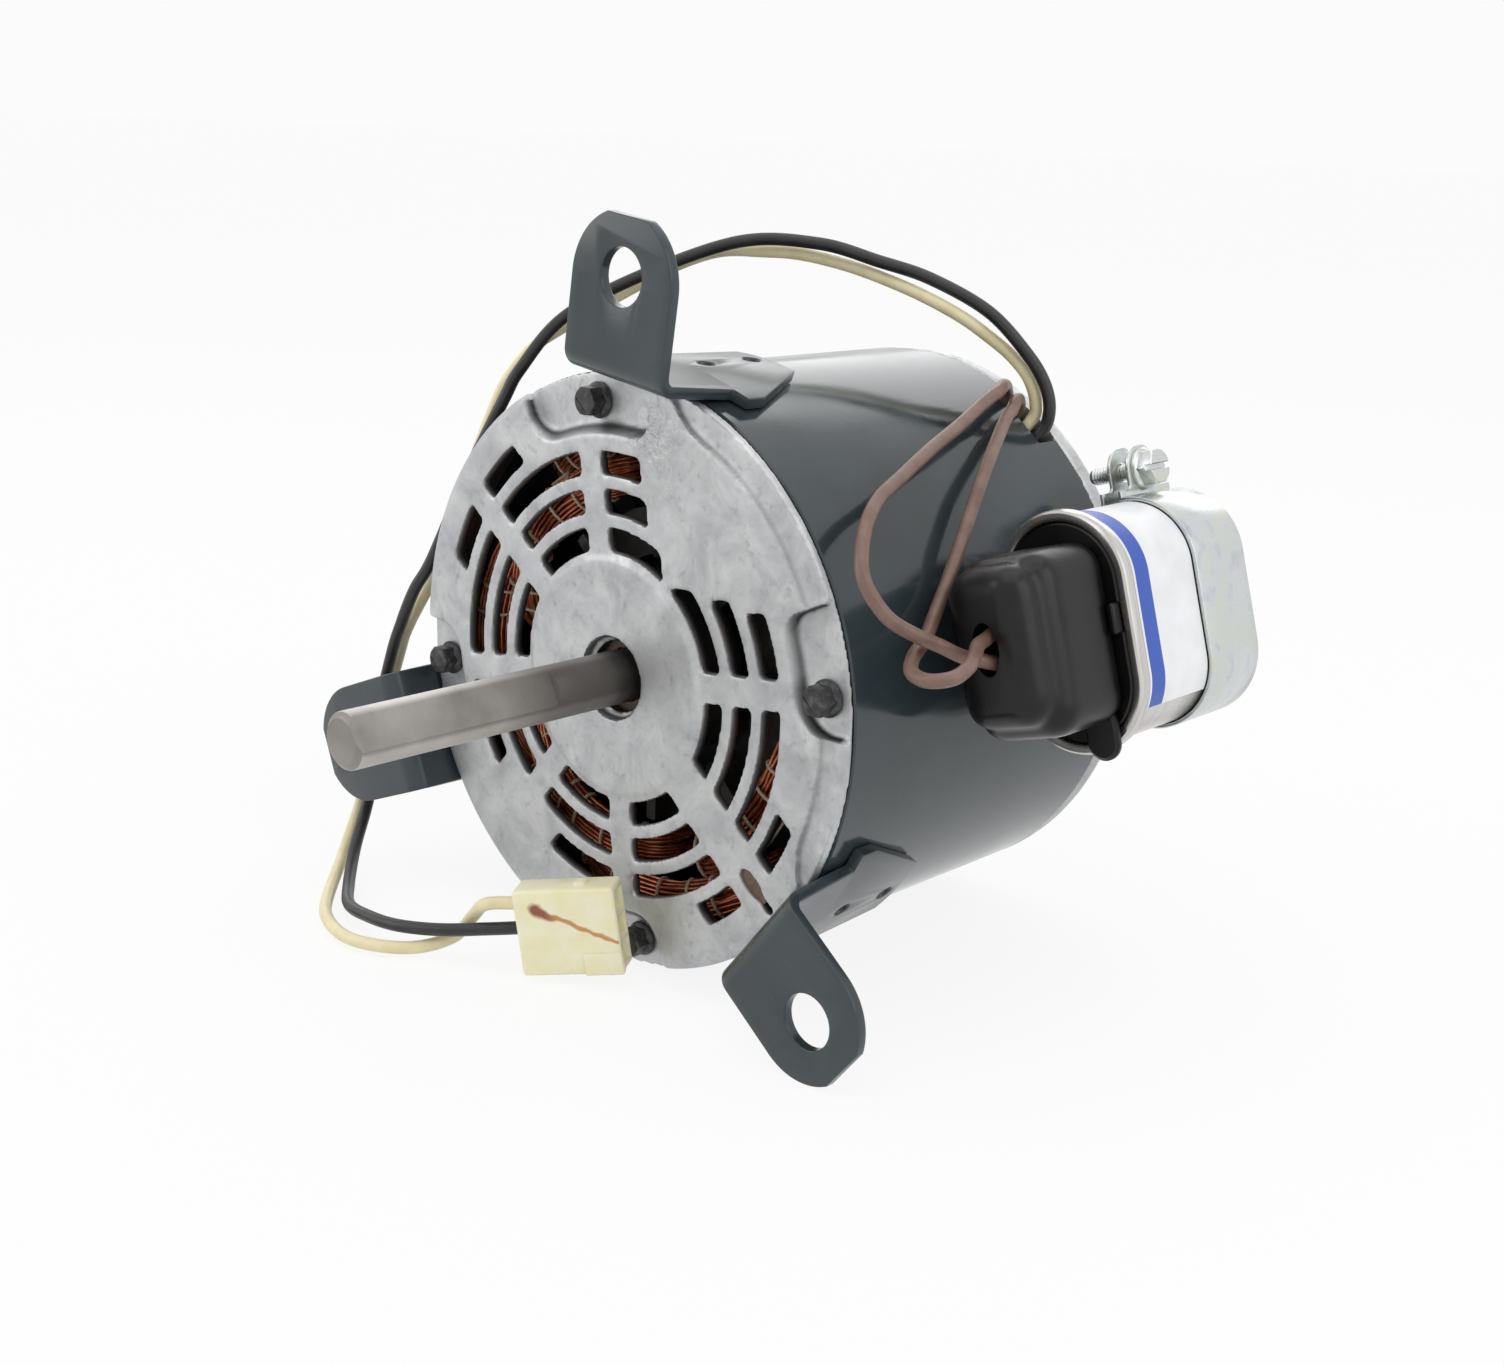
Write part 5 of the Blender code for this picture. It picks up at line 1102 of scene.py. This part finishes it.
tinplate, shader = new_material("tinplate")
place = add_node(tinplate, "TexCoord").outputs["Object"]
stretched = add_node(tinplate, "Mapping", {"Vector": place, "Scale": (MARK_STRETCH, 1.0, MARK_STRETCH)})
drawing = add_node(tinplate, "TexNoise", {"Vector": stretched, "Scale": 1 / DRAWING_MARK, "Detail": 3.0})
silvered = add_node(tinplate, "ValToRGB", {"Fac": drawing}, ((0.3, "bdb9b5"), (0.7, "d3d1ce")))
set_inputs(shader, {"Base Color": silvered, "Metallic": 0.95, "Roughness": 0.26})
finish_piece(can, "can", tinplate, "plated_steel", "capacitor_can")

# Coated label paper: white with a satin film, faintly uneven where it follows the can, and a printed blue
# band along its front edge.
LABEL_ENDS = (140.0, 164.4)
LABEL_FOOT = -19.0
LABEL_BAND = 6.2
LABEL_MARGIN = 0.7
LABEL_THICKNESS = 0.12
LABEL_LIFT = 0.01
PAPER_WAVE = 9 * MM

label_front, label_back = LABEL_ENDS
band_end = label_front + LABEL_BAND
label_outside = CAN_HALF_WIDTH + LABEL_THICKNESS
label_inside = CAN_HALF_WIDTH + LABEL_LIFT
label_profile = [(label_outside, label_front), (label_outside, band_end), (label_outside, label_back)]
label_profile += [(label_inside, label_back), (label_inside, label_front)]
label = drawn(label_profile, OVAL_SEGMENTS, CAN_STRETCH)
bpy.ops.object.mode_set(mode="EDIT")
bpy.ops.mesh.select_all(action="SELECT")
bpy.ops.mesh.bisect(plane_co=(0, 0, LABEL_FOOT * MM), plane_no=(0, 0, -1), use_fill=True, clear_outer=True)
close_mesh()
label = on_capacitor(label)

label_paper, shader = new_material("label_paper")
place = add_node(label_paper, "TexCoord").outputs["Object"]
along = add_node(label_paper, "SeparateXYZ", {"Vector": place}).outputs["Y"]
band = add_node(label_paper, "Math", {0: along, 1: band_end * MM}, operation="LESS_THAN")
margin_end = label_front + LABEL_MARGIN
margin = add_node(label_paper, "Math", {0: along, 1: margin_end * MM}, operation="GREATER_THAN")
inked = add_node(label_paper, "Math", {0: band, 1: margin}, operation="MULTIPLY")
waves = add_node(label_paper, "TexNoise", {"Vector": place, "Scale": 1 / PAPER_WAVE, "Detail": 3.0})
white = add_node(label_paper, "ValToRGB", {"Fac": waves}, ((0.3, "e4e6e8"), (0.7, "f1f2f3")))
printed = add_node(label_paper, "Mix", {SHARE: inked, UNDER: white, OVER: colour("2f55b5")}, data_type="RGBA")
bump = add_node(label_paper, "Bump", {"Height": waves, "Strength": 0.15, "Distance": 0.3 * MM})
set_inputs(shader, {"Base Color": printed, "Roughness": 0.38, "Normal": bump})
finish_piece(label, "plain_label", label_paper, "plated_steel")

# Metallised film, wound tight: pale straw with fine windings.
FILM_WINDING = 0.6 * MM

film_roll = mottled("film_roll", FILM_WINDING, 2.0, ((0.3, "c4bca6"), (0.7, "d9d2bd")), {"Roughness": 0.45})
dress(film_roll, "capacitor_roll")
dress(phenolic_board, "capacitor_lid")

# Tinned brass: pale warm silver, softly bright, with fine rubbing marks.
RUBBING = 1.2 * MM

tinned_brass = mottled("tinned_brass", RUBBING, 5.0, ((0.3, "b5b09b"), (0.7, "d2cfc0")),
                       {"Metallic": 0.95, "Roughness": 0.3})
dress(tinned_brass, "capacitor_terminal_1", "capacitor_terminal_2")

# Capacitor boot
# A soft black rubber cap pushed over the terminals, stepped in two blocks with well rounded edges. Its flange
# sits inside the can's seam, and the brown leads go through an oval hole in its front.
BOOT_BLOCKS = (
    {"half": (10.6, 17.9), "ends": (103.5, 121.0), "rise": 0.9},
    {"half": (12.6, 20.4), "ends": (109.8, 137.0), "rise": 0.0},
)
BOOT_ROUND = 6.4
BOOT_VOXEL = 0.55
BOOT_HOLE_HALF = (3.4, 5.9)
BOOT_HOLE_PLACE = (0.3, 1.4)
BOOT_HOLE_ENDS = (100.5, 110.5)
FLANGE_PROFILE = [(13.8, 134.8), (14.3, 135.2), (14.3, 137.4)]
BOOT_TAB = {"place": (13.5, 133.9, 2.4), "size": (1.9, 4.4, 7.0), "round": 0.6}
BOOT_FLAP = (5.8, -22.6)
FLAP_PROFILE = [(3.4, 131.9), (4.2, 132.6), (4.2, 133.4), (3.4, 134.1)]
FLAP_STRETCH = 2.2


def soft_block(place, size, radius, segments=6):
    """A box with all its edges well rounded."""
    block = start_from(bpy.ops.mesh.primitive_cube_add, size, size=MM, location=Vector(place) * MM)
    bpy.ops.mesh.bevel(offset=radius * MM, segments=segments, affect="EDGES")
    close_mesh()
    return block


boot_parts = []
for part in BOOT_BLOCKS:
    half_wide, half_high = part["half"]
    front, back = part["ends"]
    block_size = (2 * half_wide, back - front, 2 * half_high)
    boot_parts.append(soft_block((0, (front + back) / 2, part["rise"]), block_size, BOOT_ROUND))
boot = boot_parts[0]
cut(boot, boot_parts[1], "UNION")
modify(boot, "REMESH", mode="VOXEL", voxel_size=BOOT_VOXEL * MM)
modify(boot, "SMOOTH", factor=0.5, iterations=22)
hole = cylinder(1.0, BOOT_HOLE_ENDS, 48)
hole.data.transform(Matrix.Diagonal((BOOT_HOLE_HALF[0], 1, BOOT_HOLE_HALF[1], 1)))
cut(boot, shift(hole, BOOT_HOLE_PLACE[0], 0, BOOT_HOLE_PLACE[1]))
boot_flange = drawn(FLANGE_PROFILE, OVAL_SEGMENTS, CAN_STRETCH, closed=False)
tab = soft_block(BOOT_TAB["place"], BOOT_TAB["size"], BOOT_TAB["round"], 3)
flap = shift(drawn(FLAP_PROFILE, 32, FLAP_STRETCH, closed=False), BOOT_FLAP[0], 0, BOOT_FLAP[1])
boot = on_capacitor(join([boot, boot_flange, tab, flap]))

# Moulded rubber: black with a satin bloom, greyer where it has been handled, and a very fine pebbled skin.
RUBBER_BLOOM = 11 * MM
RUBBER_SKIN = 0.7 * MM

moulded_rubber = mottled("moulded_rubber", RUBBER_BLOOM, 5.0, ((0.35, "0b0b0b"), (0.75, "161515")),
                         {"IOR": 1.52, "Specular IOR Level": 0.32}, dulling=(0.24, 0.36),
                         relief=(0.1, 0.1 * MM, RUBBER_SKIN, 2.0))
finish_piece(boot, "boot", moulded_rubber, "black_rubber", "capacitor_boot")

# Capacitor strap and its screw
# A plated steel band holds the can against the shell. Its two ends turn up as ears with round tops, and a
# slotted hexagon screw draws them together.
STRAP_ENDS = (164.7, 186.1)
STRAP_SHEET = 0.9
STRAP_RADIUS = 16.35
EAR_SIDES = (-5.6, -0.55)
EAR_BEND = 0.8
EAR_HEIGHT = 12.0
EAR_WIDTH = 12.0
EAR_TRIM = {"x": -4.0, "reach": 20.0, "rise": 4.0, "past": 4.0, "round": 1.2}
CROWN_SIZE = (21.0, 40.0, 20.0)
SHARP = 0.05  # the rounding of a cutter with sharp edges
SCREW_RISE = 5.8
SCREW_RADIUS = 2.1
SCREW_PLAY = 0.3
SCREW_LENGTH = 14.0
SCREW_HEX = 8.0
SCREW_HEAD_HEIGHT = 3.8
SCREW_FLANGE_RADIUS = 5.0
SCREW_FLANGE_HEIGHT = 1.2
SCREW_SLOT = (1.3, 1.5)

strap = start_from(bpy.ops.mesh.primitive_circle_add, vertices=OVAL_SEGMENTS, radius=STRAP_RADIUS * MM,
                   location=(0, STRAP_ENDS[0] * MM, 0), rotation=(math.pi / 2, math.pi / OVAL_SEGMENTS, 0))
make_oval(strap, CAN_STRETCH)
pick(strap, "verts", lambda vert: vert.co.z > 0 and EAR_SIDES[0] * MM < vert.co.x < EAR_SIDES[1] * MM)
bpy.ops.mesh.delete(type="VERT")
strap_top = CAN_STRETCH + STRAP_RADIUS
for ear_side in EAR_SIDES:
    shape = bmesh.from_edit_mesh(strap.data)
    loose_ends = [vert.co.copy() for vert in shape.verts
                  if len(vert.link_edges) == 1 and vert.co.z < (strap_top + 1) * MM]
    foot = min(loose_ends, key=lambda place: abs(place.x - ear_side * MM))
    pick(strap, "verts", lambda vert: (vert.co - foot).length < 1e-7)
    upright = (strap_top + EAR_HEIGHT - EAR_BEND) * MM - foot.z
    for step in ((ear_side * MM - foot.x, 0, EAR_BEND * MM), (0, 0, upright)):
        bpy.ops.mesh.extrude_vertices_move(TRANSFORM_OT_translate={"value": step})
bpy.ops.mesh.select_all(action="SELECT")
strap_width = STRAP_ENDS[1] - STRAP_ENDS[0]
bpy.ops.mesh.extrude_edges_move(TRANSFORM_OT_translate={"value": (0, strap_width * MM, 0)})
bpy.ops.mesh.select_all(action="SELECT")
bpy.ops.mesh.normals_make_consistent(inside=False)
bpy.ops.object.mode_set(mode="OBJECT")
modify(strap, "SOLIDIFY", thickness=STRAP_SHEET * MM, offset=0, use_even_offset=True)

ear_place = sum(STRAP_ENDS) / 2
trim_width = (strap_width - EAR_WIDTH) / 2 + EAR_TRIM["past"]
trim_size = (EAR_TRIM["reach"], trim_width, EAR_HEIGHT + EAR_TRIM["past"])
trim_height = strap_top + EAR_TRIM["rise"] + EAR_HEIGHT / 2
for side in (1, -1):
    trim_place = (EAR_TRIM["x"], ear_place + side * (EAR_WIDTH + trim_width) / 2, trim_height)
    cut(strap, soft_block(trim_place, trim_size, EAR_TRIM["round"], 4))
screw_height = strap_top + STRAP_SHEET / 2 + SCREW_RISE
screw_place = Matrix.Translation(Vector((EAR_SIDES[1] + STRAP_SHEET / 2, ear_place, screw_height)) * MM)
screw_place = screw_place @ Matrix.Rotation(math.pi / 2, 4, "Z")
through_ears = (-EAR_TRIM["reach"], EAR_TRIM["reach"])
screw_hole = cylinder(SCREW_RADIUS + SCREW_PLAY, through_ears)
ear_arch = cylinder(EAR_WIDTH / 2, through_ears, 48)
for cutter in (screw_hole, ear_arch):
    cutter.data.transform(screw_place)
cut(strap, screw_hole)
crown = soft_block((EAR_TRIM["x"], ear_place, screw_height + CROWN_SIZE[2] / 2), CROWN_SIZE, SHARP, 1)
cut(crown, ear_arch)
cut(strap, crown)
round_edges(strap, 0.18, 2)
finish_piece(on_capacitor(strap), "strap", zinc_plate, "plated_steel", "capacitor_strap")

flange_front = -SCREW_FLANGE_HEIGHT
flange_profile = [(SCREW_HEX / 2, flange_front - 0.3), (SCREW_FLANGE_RADIUS - 0.4, flange_front)]
flange_profile += [(SCREW_FLANGE_RADIUS, flange_front + 0.4), (SCREW_FLANGE_RADIUS, -0.2)]
flange_profile += [(SCREW_FLANGE_RADIUS - 0.2, 0)]
screw_flange = drawn(flange_profile, 48, closed=False)
head_front = flange_front - SCREW_HEAD_HEIGHT
screw_head = hexagon(SCREW_HEX, (head_front, flange_front + HEAD_SINK))
slot_width, slot_depth = SCREW_SLOT
cut(screw_head, soft_block((0, head_front, 0), (EAR_TRIM["reach"], 2 * slot_depth, slot_width), SHARP, 1))
round_edges(screw_head, 0.2, 2, 25)
screw = join([screw_head, screw_flange, threaded((-HEAD_SINK, SCREW_LENGTH), SCREW_RADIUS, HEAD_SINK)])
screw.data.transform(screw_place)
finish_piece(on_capacitor(screw), "clamp_screw", zinc_plate, "plated_steel", "strap_screw")

# Leads
# Four stranded wires in soft plastic insulation, 3.2 mm thick. The black and the cream one arch over the
# shell to the plug, and two brown ones go from the motor into the rubber boot of the capacitor.
LEAD_DIAMETER = 3.2
LEAD_ROUNDNESS = 6
ROUTE_STEPS = 12
BLACK_ROUTE = (
    (39.6, 173, 47.7), (44.9, 177.8, 55), (46.4, 178.6, 60.6), (44.8, 178, 67.2), (40.4, 175.4, 74.5),
    (31.6, 170.4, 84), (18, 164, 91), (6, 158, 94.5), (-7, 150, 98), (-24, 139, 97.5), (-42, 122, 88),
    (-55, 108, 77), (-61, 99, 64), (-64, 96, 56), (-70, 90, 38), (-77, 83, 14), (-81, 80, 5), (-85, 78.5, -5),
    (-88, 77.5, -14), (-91.5, 75, -33), (-91, 72, -52), (-84, 62, -63.5), (-73, 52, -68.4),
    (-62, 44.5, -68.2), (-50, 41.5, -66.6), (-38, 41.5, -65.2), (-26, 45.5, -63.6), (-14.6, 51.6, -61.4),
    (-7.9, 55.75, -60.1), (-2.9, 58.9, -59.2),
)
CREAM_ROUTE = (
    (36.5, 173, 50.1), (41.6, 177.6, 57.4), (42.4, 178.4, 61.8), (40.1, 177.8, 68), (36, 175.3, 73.4),
    (31, 171.6, 78), (26, 167.8, 82), (18.6, 164, 85.9), (9.2, 161, 89.3), (-2, 156.5, 92.7),
    (-12.7, 150, 95), (-21.9, 145, 95.2), (-31.2, 140, 94.7), (-38.4, 133, 91.3), (-45.2, 125.5, 85.9),
    (-51.4, 117.5, 80.1), (-58.7, 110.5, 73.9), (-63.2, 105.8, 69.3), (-65.9, 101, 63), (-68.4, 97.5, 55.2),
    (-74, 92, 34), (-79.1, 87.3, 12.4), (-87.3, 82.8, -6.2), (-90.5, 81.8, -15.1), (-95.3, 77.5, -39.4),
    (-95.4, 72.8, -54.4), (-87, 60, -66.4), (-70.4, 43.5, -69.2), (-60, 36.5, -69.2), (-48, 33.5, -69.2),
    (-38, 36.5, -69.2), (-31, 43, -69), (-26, 49.8, -66.4), (-21.5, 52, -60.2), (-15.5, 51, -55.1),
    (-8.8, 55.2, -53.9), (-3.8, 58.3, -52.9),
)
BROWN_ROUTES = (
    (
        (29.9, 174, 54.3), (33.6, 177.4, 61.6), (35.2, 175.4, 65.2), (37.6, 170.8, 66.6), (41.3, 164, 66),
        (43.4, 155.6, 64.2), (47.7, 140.5, 60.5), (52.7, 123.2, 56.9), (57.4, 107, 52.8), (60.4, 96.8, 50.2),
        (63.7, 89.1, 46.7), (67.5, 83.1, 42.1), (70.7, 79.9, 37.4), (73.3, 80.1, 33.2), (76.4, 82.7, 28.5),
        (79.6, 87.3, 25.2), (81.9, 93, 22.4), (83.8, 98.5, 19.6), (86.6, 103.5, 18.2), (87.4, 110, 16),
        (88.5, 118, 12.2), (89, 125.6, 10.5),
    ),
    (
        (33.3, 174, 52.3), (37.5, 177.5, 59.3), (39.4, 175.2, 62.8), (42.1, 170.1, 63.1), (45, 164.5, 61.6),
        (47.3, 158.9, 60.1), (57.3, 138.5, 51.5), (64.3, 122.8, 40.5), (67.7, 113.2, 31), (69.3, 108.8, 27.4),
        (71.6, 103.3, 23.8), (74.5, 97.5, 21.6), (78.5, 88.5, 19.8), (83.4, 82.2, 18.8), (88.9, 80.6, 18.6),
        (92.6, 83.8, 19.4), (92.4, 89, 20.6), (90, 94.4, 21.9), (87.2, 99.3, 22.7), (85.7, 104, 22.8),
        (84.8, 111, 25), (83.9, 118, 27), (83.6, 125.6, 27.7),
    ),
)


def smooth_route(route):
    """Close points, in metres, on a smooth curve through a route's own points."""
    points = [Vector(point) * MM for point in route]
    guide = [2 * points[0] - points[1]] + points + [2 * points[-1] - points[-2]]
    curve = []
    for before, start, end, after in zip(guide, guide[1:], guide[2:], guide[3:]):
        for step in range(ROUTE_STEPS):
            share = step / ROUTE_STEPS
            straight = (end - before) * share
            square = (2 * before - 5 * start + 4 * end - after) * share ** 2
            cubic = (3 * start - 3 * end + after - before) * share ** 3
            curve.append(start + (straight + square + cubic) / 2)
    return curve + [points[-1]]


# Soft PVC, extruded: a satin sheen, with faint handling marks every few millimetres and a fine skin.
HANDLING_MARK = 5 * MM
PVC_SKIN = 0.5 * MM


def pvc_insulation(name, clean, handled):
    return mottled(name, HANDLING_MARK, 4.0, ((0.35, clean), (0.72, handled)),
                   {"Roughness": 0.42, "IOR": 1.53}, relief=(0.12, 0.1 * MM, PVC_SKIN, 2.0))


def lay_lead(node, route, material):
    lead = strand(smooth_route(route), LEAD_DIAMETER, LEAD_ROUNDNESS)
    fit(lead, f"{node}_wire", material)
    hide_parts(node)
    return lead


black_pvc = pvc_insulation("black_pvc", "1c1b1d", "2b2a2c")
cream_pvc = pvc_insulation("cream_pvc", "f3e8c0", "e6d9aa")
brown_pvc = pvc_insulation("brown_pvc", "7f6458", "6b5044")
black_lead = lay_lead("lead_black", BLACK_ROUTE, black_pvc)
cream_lead = lay_lead("lead_cream", CREAM_ROUTE, cream_pvc)
for number, route in enumerate(BROWN_ROUTES, 1):
    brown_lead = lay_lead(f"capacitor_lead_{number}", route, brown_pvc)

# Plug
# A three-way crimp connector moulded in natural nylon, with a brass contact on each of its two leads.
# It hangs on the ends of the black and the cream lead.
PLUG_CORNER = (-4.2, 53.0, -70.8)
PLUG_TURN = (0.0, -9.0, 32.0)
PLUG_SIZE = (25.0, 8.6, 21.6)
PLUG_ROUND = 0.9
PLUG_PITCH = 6.35
PLUG_BORE = 1.9
MATING_RECESS = (3.0, 5.4)
LATCH_STEP = {"place": (20.4, 0.6, 2.7), "size": (9.6, 2.2, 5.6)}
LATCH_BUMP = {"place": (16.2, 4.3, 21.6), "size": (3.0, 3.6, 1.4)}
LATCH_ROUND = 0.5
RECESS_ROUND = 0.4

plug = soft_block([side / 2 for side in PLUG_SIZE], PLUG_SIZE, PLUG_ROUND, 3)
for feature in (LATCH_STEP, LATCH_BUMP):
    cut(plug, soft_block(feature["place"], feature["size"], LATCH_ROUND, 3), "UNION")
recess_depth, recess_width = MATING_RECESS
for position in (-1, 0, 1):
    middle = (PLUG_SIZE[1] / 2, PLUG_SIZE[2] / 2 + position * PLUG_PITCH)
    bore = cylinder(PLUG_BORE, (-CUT_PAST, PLUG_SIZE[0] + CUT_PAST), 32)
    bore.data.transform(Matrix.Rotation(-math.pi / 2, 4, "Z"))
    cut(plug, shift(bore, 0, *middle))
    recess_size = (2 * recess_depth, recess_width, recess_width)
    cut(plug, soft_block((PLUG_SIZE[0], *middle), recess_size, RECESS_ROUND, 2))
round_edges(plug, 0.2, 2, 50)
mould_places = plug.data.attributes.new("mould_place", "FLOAT_VECTOR", "POINT")
for vert, mould_place in zip(plug.data.vertices, mould_places.data):
    mould_place.vector = vert.co / MM
plug.data.transform(Euler([math.radians(angle) for angle in PLUG_TURN]).to_matrix().to_4x4())
shift(plug, *PLUG_CORNER)

# Natural nylon, moulded: pale yellow and waxy, letting a little light through. A smear of flux runs over its
# front, from a red-brown blob at the upper left to a thin orange line at the right edge.
NYLON_CLOUD = 5 * MM
SMEAR_START = (5.4, 16.6)
SMEAR_FALL = 0.45
SMEAR_WIDTHS = (1.9, 0.65)
SMEAR_BLOB = (1.5, 7.0)
SMEAR_WAVER = 5.0
SMEAR_SWING = 3.0
FRONT_DEPTH = 0.3

nylon, shader = new_material("natural_nylon")
place = add_node(nylon, "TexCoord").outputs["Object"]
clouds = add_node(nylon, "TexNoise", {"Vector": place, "Scale": 1 / NYLON_CLOUD, "Detail": 3.0})
wax = add_node(nylon, "ValToRGB", {"Fac": clouds}, ((0.3, "faf0c4"), (0.7, "fff9dd")))
mould_place = add_node(nylon, "Attribute", attribute_name="mould_place").outputs["Vector"]
mould = add_node(nylon, "SeparateXYZ", {"Vector": mould_place}).outputs
run = add_node(nylon, "Math", {0: mould["X"], 1: SMEAR_START[0]}, operation="SUBTRACT")
waver = add_node(nylon, "TexNoise", {"Vector": mould_place, "Scale": 1 / SMEAR_WAVER, "Detail": 2.0})
swing = add_node(nylon, "Math", {0: waver, 1: SMEAR_SWING, 2: SMEAR_START[1] - SMEAR_SWING / 2},
                 operation="MULTIPLY_ADD")
smear_line = add_node(nylon, "Math", {0: run, 1: -SMEAR_FALL, 2: swing}, operation="MULTIPLY_ADD")
off_line = add_node(nylon, "Math", {0: mould["Z"], 1: smear_line}, operation="SUBTRACT")
before_start = add_node(nylon, "Math", {0: run, 1: 0.0}, operation="MINIMUM")
off_smear = add_node(nylon, "CombineXYZ", {"X": off_line, "Y": before_start})
distance = add_node(nylon, "VectorMath", {0: off_smear}, operation="LENGTH")
smear_width = add_node(nylon, "MapRange", {"Value": run, "From Min": SMEAR_BLOB[0], "From Max": SMEAR_BLOB[1],
                                           "To Min": SMEAR_WIDTHS[0], "To Max": SMEAR_WIDTHS[1]})
reach = add_node(nylon, "Math", {0: distance, 1: smear_width}, operation="DIVIDE")
thickness = add_node(nylon, "MapRange", {"Value": reach, "From Min": 0.5, "From Max": 1.1, "To Min": 0.95,
                                         "To Max": 0.0})
on_front = add_node(nylon, "Math", {0: mould["Y"], 1: FRONT_DEPTH}, operation="LESS_THAN")
smear = add_node(nylon, "Math", {0: thickness, 1: on_front}, operation="MULTIPLY")
run_share = add_node(nylon, "Math", {0: run, 1: SMEAR_BLOB[1]}, operation="DIVIDE")
flux = add_node(nylon, "ValToRGB", {"Fac": run_share}, ((0.3, "93432c"), (0.75, "d09350")))
smeared = add_node(nylon, "Mix", {SHARE: smear, UNDER: wax, OVER: flux}, data_type="RGBA")
set_inputs(shader, {"Base Color": smeared, "Roughness": 0.4, "IOR": 1.53, "Subsurface Weight": 0.35,
                    "Subsurface Radius": (1.0, 0.85, 0.5), "Subsurface Scale": 2.5 * MM})
finish_piece(plug, "crimp_plug", nylon, "nylon", "plug_housing")
dress(tinned_brass, "plug_contact_1", "plug_contact_2")
